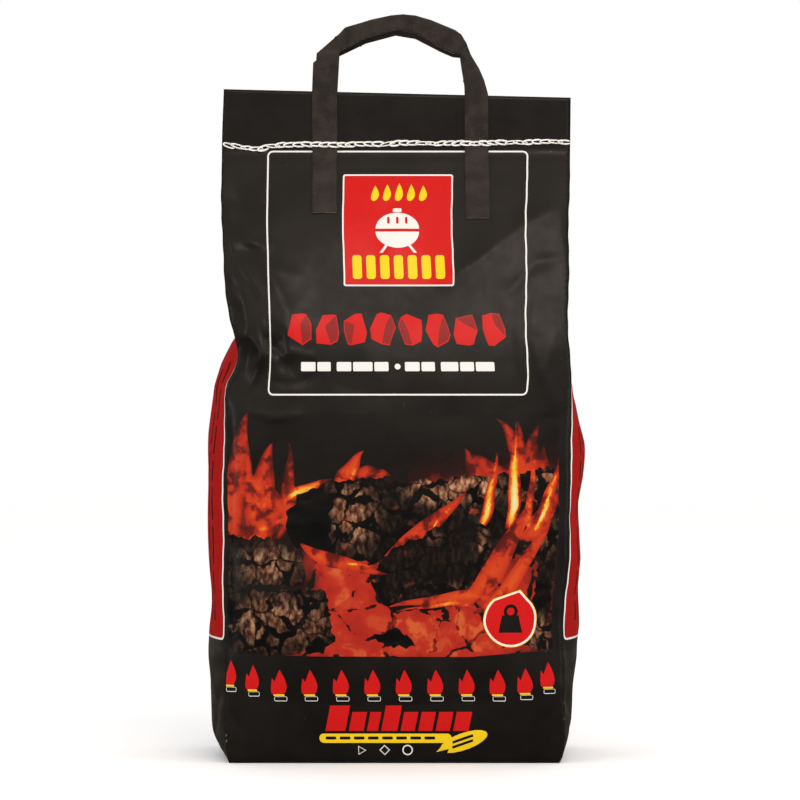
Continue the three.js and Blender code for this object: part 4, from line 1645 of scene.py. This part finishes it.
@dataclass
class InnerPly:
    """The plain kraft ply inside the printed one, seen at the cut edge of the mouth."""

    form: SackForm
    wall: float = 0.25
    step: float = 5.5
    body_gap: float = 3.0
    mouth_gap: float = 0.45
    off_crease: float = 0.03
    least_room: float = 1.0
    neck: float = 380.0
    open_top: float = 14.0

    def build(self) -> Piece:
        """Folds the ply and draws it in from the outer one, less where two folds lie together."""
        form = self.form
        half, deep = form.panel / 2, form.gusset
        across = np.linspace(-half, half, 51)
        through = np.linspace(0, deep, 25)
        up = np.linspace(0, form.height, 116)
        panel = cut_sheet(across, up, self.step, [])
        flank = cut_sheet(through, up, self.step, [])
        base = cut_sheet(across, through - deep / 2, self.step, [])
        sheets = (panel, panel, flank, base)
        places, triangles, slots, gaps = form.folded(sheets, self.off_crease)
        paper = KraftPaper("plain kraft inner ply", "#a98459", "#8a6841").material()
        piece = mesh_object("kraft_inner_ply", places, triangles, [paper], slots * 0)
        set_field(piece, Field.GAP, gaps)
        merge_close(piece, 0.02)
        places, normals, _, _ = read_mesh(piece)
        gap = get_field(piece, Field.GAP)
        closed = smooth(places[:, 2], self.neck, 480)
        wanted = self.body_gap + (self.mouth_gap - self.body_gap) * closed
        drawn_in = np.minimum(wanted, 0.28 * gap + 0.02)
        places = (places - normals * drawn_in[:, None]) * MM
        piece.data.vertices.foreach_set("co", places.ravel())
        piece.data.update()
        with_wall(piece, np.minimum(self.wall, 0.15 * gap + 0.01), 0)
        self.leave_out_pinched(piece)
        return piece

    def leave_out_pinched(self, piece: Piece) -> None:
        """Takes away the ply where the folds of the closed head press it to nothing."""
        gap = get_field(piece, Field.GAP)
        work = bmesh.new()
        work.from_mesh(piece.data)
        low, high = self.neck * MM, (self.form.height - self.open_top) * MM
        pinched = [
            face
            for face in work.faces
            if all(gap[v.index] < self.least_room and low < v.co.z < high for v in face.verts)
        ]
        bmesh.ops.delete(work, geom=pinched, context="FACES")
        work.to_mesh(piece.data)
        work.free()


# ---------------------------------------------------------------- the handles


@dataclass
class PaperHandle:
    """A carrying strap: one kraft strip, dyed dark, folded flat at each bend of its arch."""

    form: SackForm
    name: str
    facing: int
    lower_arch: float = 0.0
    top: float = 593.6
    wall: float = 0.9
    gap: float = 0.35
    step: float = 2.2
    lift: float = 0.45
    margin: float = 5.0

    def outline(self) -> list[Point]:
        """Draws the strip: up the left leg's inner edge, round the arch and down again."""
        inner = [(-47.2, 433), (-47.1, 529), (-45.4, 562.5), (-24.2, 573.3), (-0.3, 580.3),
                 (15.5, 577.5), (36.3, 565.9), (45.6, 561.6), (51.3, 561), (52.3, 553),
                 (54.8, 536.5), (55.1, 529), (54.8, 428.5)]
        outer = [(74.6, 428.5), (73.8, 529), (70.7, 540.2), (66.7, 549.3), (59.7, 561),
                 (56.6, 569.6), (52.1, 577), (47.4, 580.3), (27.7, 588.3), (15.5, 591.8),
                 (5.5, 592.8), (-4, 592), (-19.3, 588.8), (-40.8, 582.2), (-45.1, 577.5),
                 (-63.5, 561.6), (-64, 556), (-66.4, 554), (-67.4, 529), (-66.5, 433)]
        mouth = self.form.height
        drop = self.lower_arch / (self.top - mouth)
        return [(x, z - drop * max(0.0, z - mouth)) for x, z in outer + inner]

    def relief(self) -> Relief:
        """Creases the strip: sharp at the bends, soft and wandering along the legs."""
        made = Relief((-72.0, 424.0, 80.0, 600.0))
        everywhere = lambda x, z: np.ones_like(x)
        made.facets(51 + self.facing, 15, 0.55, everywhere)
        made.facets(53 + self.facing, 7, 0.22, lambda x, z: smooth(z, 520, 540))
        folds = (
            ([(-68, 562), (-54, 563.5), (-44, 562)], 1.6, 2.2, 0.9),
            ([(-45.1, 561), (-45.4, 570), (-45.1, 579)], 1.4, 2.0, 0.9),
            ([(-24, 571), (-21, 580), (-18, 592)], 0.7, 2.4, 0.3),
            ([(-1, 578), (4, 596)], 0.9, 2.0, 0.6),
            ([(24, 570), (28, 590)], 0.8, 2.2, 0.5),
            ([(45, 560), (50, 568), (54, 580)], 1.3, 2.0, 0.9),
            ([(51, 561), (60, 560)], 1.3, 2.0, 0.9),
            ([(52, 548), (70, 545)], 0.6, 2.4, 0.4),
            ([(-57, 440), (-58, 500), (-56, 550)], 0.4, 2.4, 0.0),
            ([(66, 436), (63, 500), (62, 545)], -0.4, 2.4, 0.0),
        )
        for path, rise, width, step in folds:
            made.fold(path, rise, width, step)
        made.soften(1)
        return made

    def stand_off(self, x: np.ndarray, z: np.ndarray) -> np.ndarray:
        """Gives how far the strip's middle stands out from the sack's middle plane."""
        form = self.form
        held = np.minimum(z, form.height)
        left, right = form.left_core(held), form.right(held)
        u = (x - left) / (right - left) * form.panel - form.panel / 2
        on_sack = np.abs(form.panel_at(-self.facing * u, held, self.facing)[:, 1])
        lean = 1.6 * smooth(z, form.height, 594) + 0.5 * np.sin(x * 0.08) * smooth(z, 529, 560)
        return on_sack + self.gap + self.wall / 2 + lean

    def build(self) -> Piece:
        """Cuts the strip, lays it on the sack and gives it its thickness."""
        outline = self.outline()
        shape = Shape(Ink.RED, outline)
        rims = [(min(c) - self.margin, max(c) + self.margin) for c in zip(*outline)]
        sheet = cut_sheet(np.array(rims[0]), np.array(rims[1]), self.step, [shape])
        kept = sheet.triangles[sheet.inks == Ink.RED.value]
        used, kept = np.unique(kept, return_inverse=True)
        x, z = sheet.places[used].T
        out = self.stand_off(x, z) + self.relief().at(x, z) + self.lift
        places = np.column_stack((x, self.facing * out, z))
        triangles = kept.reshape(-1, 3)
        if self.facing > 0:
            triangles = triangles[:, ::-1]
        dyed = DyedKraft()
        piece = mesh_object(self.name, places, triangles, [dyed.face(), dyed.edge()])
        wall = piece.modifiers.new("strip thickness", "SOLIDIFY")
        wall.thickness = self.wall * MM
        wall.offset = -1
        wall.material_offset_rim = 1
        return finished_mesh(piece)


# ---------------------------------------------------------------- the closing seam


class StitchTree:
    """A Geometry Nodes tree that sews one kind of stitch along a path."""

    def __init__(self, name: str, facing: int, sizes: dict[str, float]) -> None:
        """Starts the tree: its inputs, and points on the path with their outward turn.

        Args:
            name: of the tree.
            facing: -1 for stitches on the front, 1 on the back.
            sizes: named inputs with their values in millimetres.
        """
        self.tree = tree = bpy.data.node_groups.new(name, "GeometryNodeTree")
        self.known = {}
        inputs = {"Path": "Geometry", **dict.fromkeys(sizes, "Float")}
        for label, kind in {**inputs, "Seed": "Int", "Thread": "Material"}.items():
            made = tree.interface.new_socket(
                label, in_out="INPUT", socket_type=f"NodeSocket{kind}"
            )
            self.known[label] = made.identifier
            if label in sizes:
                made.default_value = sizes[label] * MM
        tree.interface.new_socket(
            "Stitches", in_out="OUTPUT", socket_type="NodeSocketGeometry"
        )
        self.start = start = tree.nodes.new("NodeGroupInput").outputs
        curve = add_node(tree, Kind.CURVE, start["Path"])
        self.points = add_node(tree, Kind.SPACED, curve, start["Pitch"])
        turned = add_node(tree, Kind.ALIGNED, add_node(tree, Kind.TANGENT), axis="X")
        out = (0, facing, 0)
        self.turned = add_node(tree, Kind.ALIGNED, out, turned, axis="Z", pivot_axis="X")
        self.section = add_node(tree, Kind.CIRCLE, 6, start["Thread Radius"])

    def end(self, stitch: Socket, *turn_and_size: Socket) -> None:
        """Sets a stitch at each point and ends the tree in plain, dressed thread."""
        tree = self.tree
        placed = add_node(tree, Kind.PLACED, self.points, stitch, *turn_and_size)
        real = add_node(tree, Kind.REALIZED, placed)
        dressed = add_node(tree, Kind.DRESSED, real, self.start["Thread"])
        feed(tree, tree.nodes.new("NodeGroupOutput"), {0: dressed})


def chain_stitches() -> StitchTree:
    """Makes a row of thread loops, each drawn through the one before it."""
    sizes = {"Pitch": 5.4, "Width": 3.3, "Thread Radius": 0.62}
    made = StitchTree("chain of thread loops", -1, sizes)
    tree, start = made.tree, made.start
    long = add_node(tree, Kind.MATHS, start["Pitch"], 0.8)
    half = add_node(tree, Kind.MATHS, start["Width"], 0.42)
    size = add_node(tree, Kind.VECTOR, long, half, 1.0)
    ring = add_node(tree, Kind.CIRCLE, 12)
    ring = add_node(tree, Kind.SHAPED, ring, size, (0, 0.22, 0))
    loop = add_node(tree, Kind.TUBE, ring, made.section)
    seed = start["Seed"]
    jitter = add_node(tree, Kind.RANDOM, (-0.16, -0.1, -0.2), (0.16, 0.1, 0.2), seed)
    wobble = add_node(tree, Kind.EULER, jitter)
    turn = add_node(tree, Kind.TURNED, made.turned, wobble)
    swell = add_node(tree, Kind.RANDOM, (0.9, 0.8, 0.9), (1.12, 1.25, 1.1), seed)
    made.end(loop, turn, swell)
    return made


def running_stitches() -> StitchTree:
    """Makes a row of short straight stitches that dip into the paper at both ends."""
    made = StitchTree("row of running stitches", 1, {"Pitch": 6.4, "Thread Radius": 0.5})
    tree, pitch = made.tree, made.start["Pitch"]
    arc = add_node(tree, Kind.ARC, 6, (-0.45, 0, -0.1), (0, 0, 0.16), (0.45, 0, -0.1))
    size = add_node(tree, Kind.VECTOR, pitch, pitch, pitch)
    arc = add_node(tree, Kind.SHAPED, arc, size)
    made.end(add_node(tree, Kind.TUBE, arc, made.section, True), made.turned)
    return made


@dataclass
class ClosingSeam:
    """The sewn closing seam: a chain of loops on the front, running stitches on the back."""

    form: SackForm
    height: float = 489.4
    reach: float = 133.5
    pitch: float = 7.0
    off_paper: float = 0.55
    over_strap: float = 1.4
    straps: tuple[Point, Point] = ((-67, -43), (53, 76))

    def path(self, facing: int) -> list[tuple[float, float, float]]:
        """Lays the seam across the head, over the straps and with a slight wander."""
        form = self.form
        xs = np.arange(-self.reach, self.reach + 2.2, 1.5)
        wave = 0.35 * np.sin(xs * 0.06 + 1) + 0.25 * np.sin(xs * 0.17)
        wave = wave - 3.2 * np.exp(-(((xs + 110) / 13) ** 2))
        z = self.height + 0.01 * xs + wave
        left, right = form.left_core(z), form.right(z)
        u = (xs - left) / (right - left) * form.panel - form.panel / 2
        out = np.abs(form.panel_at(np.clip(-facing * u, -140, 140), z, facing)[:, 1])
        for low, high in self.straps:
            lift = smooth(xs, low - 4, low + 1) * (1 - smooth(xs, high - 1, high + 4))
            out = out + self.over_strap * lift
        return [(x, facing * (o + self.off_paper), h) for x, o, h in zip(xs, out, z)]

    def sew(self, name: str, stitches: StitchTree, facing: int, seed: int) -> Piece:
        """Runs a tree along the seam and makes the result a plain mesh."""
        mesh = bpy.data.meshes.new(name)
        path = [tuple(c * MM for c in p) for p in self.path(facing)]
        mesh.from_pydata(path, [(i, i + 1) for i in range(len(path) - 1)], [])
        piece = in_scene(name, mesh)
        sewing = piece.modifiers.new("sewing", "NODES")
        sewing.node_group = stitches.tree
        sewing[stitches.known["Pitch"]] = self.pitch * MM
        sewing[stitches.known["Seed"]] = seed
        sewing[stitches.known["Thread"]] = SpunThread().material()
        made = finished_mesh(piece)
        made.data.shade_smooth()
        return made

    def build(self) -> tuple[Piece, Piece]:
        """Sews the looper thread on the front and the needle thread on the back."""
        front = self.sew("looper_thread", chain_stitches(), -1, 5)
        back = self.sew("needle_thread", running_stitches(), 1, 6)
        return front, back


# ---------------------------------------------------------------- the filling


@dataclass
class CharcoalFill:
    """The lumps of charcoal in the sack: split, cracked pieces of burnt branch."""

    rough: float = 1.6
    shrink: float = 0.97

    def build(self, lumps: Sequence[Piece]) -> Piece:
        """Breaks the surface of each packed lump and joins them as one filling."""
        work = bmesh.new()
        for number, lump in enumerate(lumps):
            piece = bmesh.new()
            piece.from_mesh(lump.data)
            bmesh.ops.remove_doubles(piece, verts=piece.verts, dist=0.01 * MM)
            bmesh.ops.subdivide_edges(piece, edges=piece.edges, cuts=3, use_grid_fill=True)
            middle = sum((v.co for v in piece.verts), Vector()) / len(piece.verts)
            for vertex in piece.verts:
                away = (vertex.co - middle) / MM
                place = away * 0.09 + Vector((number * 7.3, 0, 0))
                depth = abs(noise.noise(place)) * 2.4 + abs(noise.noise(place * 3.1)) * 0.8
                vertex.co = middle + away * (self.shrink * MM)
                vertex.co -= away.normalized() * (depth * self.rough * MM)
            bmesh.ops.recalc_face_normals(piece, faces=piece.faces)
            made = bpy.data.meshes.new("lump")
            piece.to_mesh(made)
            piece.free()
            work.from_mesh(made)
            bpy.data.meshes.remove(made)
        mesh = bpy.data.meshes.new("charcoal_filling")
        work.to_mesh(mesh)
        work.free()
        mesh.materials.append(CharredWood().material())
        for polygon in mesh.polygons:
            polygon.material_index = 0
        return in_scene("charcoal_filling", mesh)


# ---------------------------------------------------------------- the studio


@dataclass
class Studio:
    """A pale sweep, soft lights and the camera."""

    camera_place: tuple[float, float, float] = (3.2, -2400.0, 284.1)
    lens: float = 134.67
    floor_half: float = 6000.0
    floor_code: str = "#ffffff"
    sheen_code: str = "#fff0dc"

    def camera(self) -> None:
        """Sets the camera level in front of the sack."""
        data = bpy.data.cameras.new("camera")
        data.lens = self.lens
        data.sensor_width = 36.0
        data.clip_end = 60.0
        seen = in_scene("camera", data)
        seen.location = [c * MM for c in self.camera_place]
        seen.rotation_euler = (math.radians(90), 0, 0)
        bpy.context.scene.camera = seen

    def floor(self) -> None:
        """Lays the pale floor."""
        half = self.floor_half
        places = np.array([(-half, -half, 0), (half, -half, 0), (half, half, 0), (-half, half, 0)])
        material, tree, shader = new_material("pale matt sweep")
        code = linear(self.floor_code)
        feed(tree, shader, {"Base Color": code, "Roughness": 0.9, "Specular IOR Level": 0.1})
        quads = np.array([(0, 1, 2), (0, 2, 3)])
        sweep = mesh_object("floor", places, quads, [material])
        sweep.visible_glossy = False

    def light(
        self,
        name: str,
        place: Sequence[float],
        size: Sequence[float],
        watts: float,
        code: str = "#ffffff",
    ) -> None:
        """Hangs a soft box that faces the middle of the sack.

        Args:
            name: what it does.
            place: its middle, in millimetres.
            size: width and height, in millimetres.
            watts: its power.
            code: its colour.
        """
        data = bpy.data.lights.new(name, "AREA")
        data.shape = "RECTANGLE"
        data.size, data.size_y = (s * MM for s in size)
        data.energy = watts
        data.color = linear(code)[:3]
        lamp = in_scene(name, data)
        lamp.location = [c * MM for c in place]
        aim = Vector((0, 0, 0.28)) - lamp.location
        lamp.rotation_euler = aim.to_track_quat("-Z", "Y").to_euler()

    def world(self) -> None:
        """Fills the room with even pale light, which gloss sees as darker towards the floor."""
        room = bpy.data.worlds.new("studio")
        bpy.context.scene.world = room
        room.use_nodes = True
        tree = room.node_tree
        ground = tree.nodes["Background"]
        way = add_node(tree, Kind.PLACE, out="Generated")
        up = add_node(tree, Kind.AXES, way, out=2)
        low = add_node(tree, Kind.SPREAD, up, -0.12, 0.12, 0.12, 0.6)
        high = add_node(tree, Kind.SPREAD, up, 0.15, 0.7, 0.0, 0.4)
        shade = add_node(tree, Kind.MATHS, low, high, operation="ADD")
        seen = add_node(tree, Kind.MIX, shade, linear("#000000"), linear(self.sheen_code))
        glossy = add_node(tree, Kind.RAY)
        colour = add_node(tree, Kind.MIX, glossy, linear("#ffffff"), seen)
        feed(tree, ground, {"Color": colour, "Strength": 1.0})

    def build(self) -> None:
        """Sets up everything around the sack."""
        self.camera()
        self.floor()
        self.world()
        self.light("left strip box", (-1500, -1500, 700), (300, 1500), 7)
        self.light("right strip box", (1700, -1000, 700), (260, 1500), 6)
        self.light("front upper soft box", (500, -1700, 1550), (1300, 500), 13, "#fff0e2")
        bpy.context.scene.view_settings.view_transform = "Standard"


# ---------------------------------------------------------------- everything together


def main() -> None:
    """Builds the sack in order."""
    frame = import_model()
    nodes = frame["nodes"]
    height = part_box("outer_ply")[1].z / MM
    Studio().build()
    form = SackForm(height)

    sack = PaperSack(form).build()
    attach(sack, "root")
    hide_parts("outer_ply")
    log.info("paper sack: %d triangles", len(sack.data.polygons))

    ply = InnerPly(form).build()
    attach(ply, "root")
    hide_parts("inner_ply")
    log.info("inner ply: %d triangles", len(ply.data.polygons))

    for node, facing, drop in (("handle_front", -1, 0.0), ("handle_back", 1, 4.5)):
        handle = PaperHandle(form, f"{node}_strap", facing, drop).build()
        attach(handle, "root")
        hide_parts(node)
        log.info("%s: %d triangles", handle.name, len(handle.data.polygons))

    front, back = ClosingSeam(form).build()
    for thread, node in ((front, "seam_looper_thread"), (back, "seam_needle_thread")):
        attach(thread, "root")
        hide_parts(node)
        log.info("%s: %d triangles", thread.name, len(thread.data.polygons))

    names = sorted(name for name in nodes if name.startswith("lump_"))
    filling = CharcoalFill().build([nodes[name] for name in names])
    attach(filling, "root")
    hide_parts(*names)
    log.info("filling: %d triangles", len(filling.data.polygons))


if __name__ == "__main__":
    logging.basicConfig(level=logging.INFO)
    main()
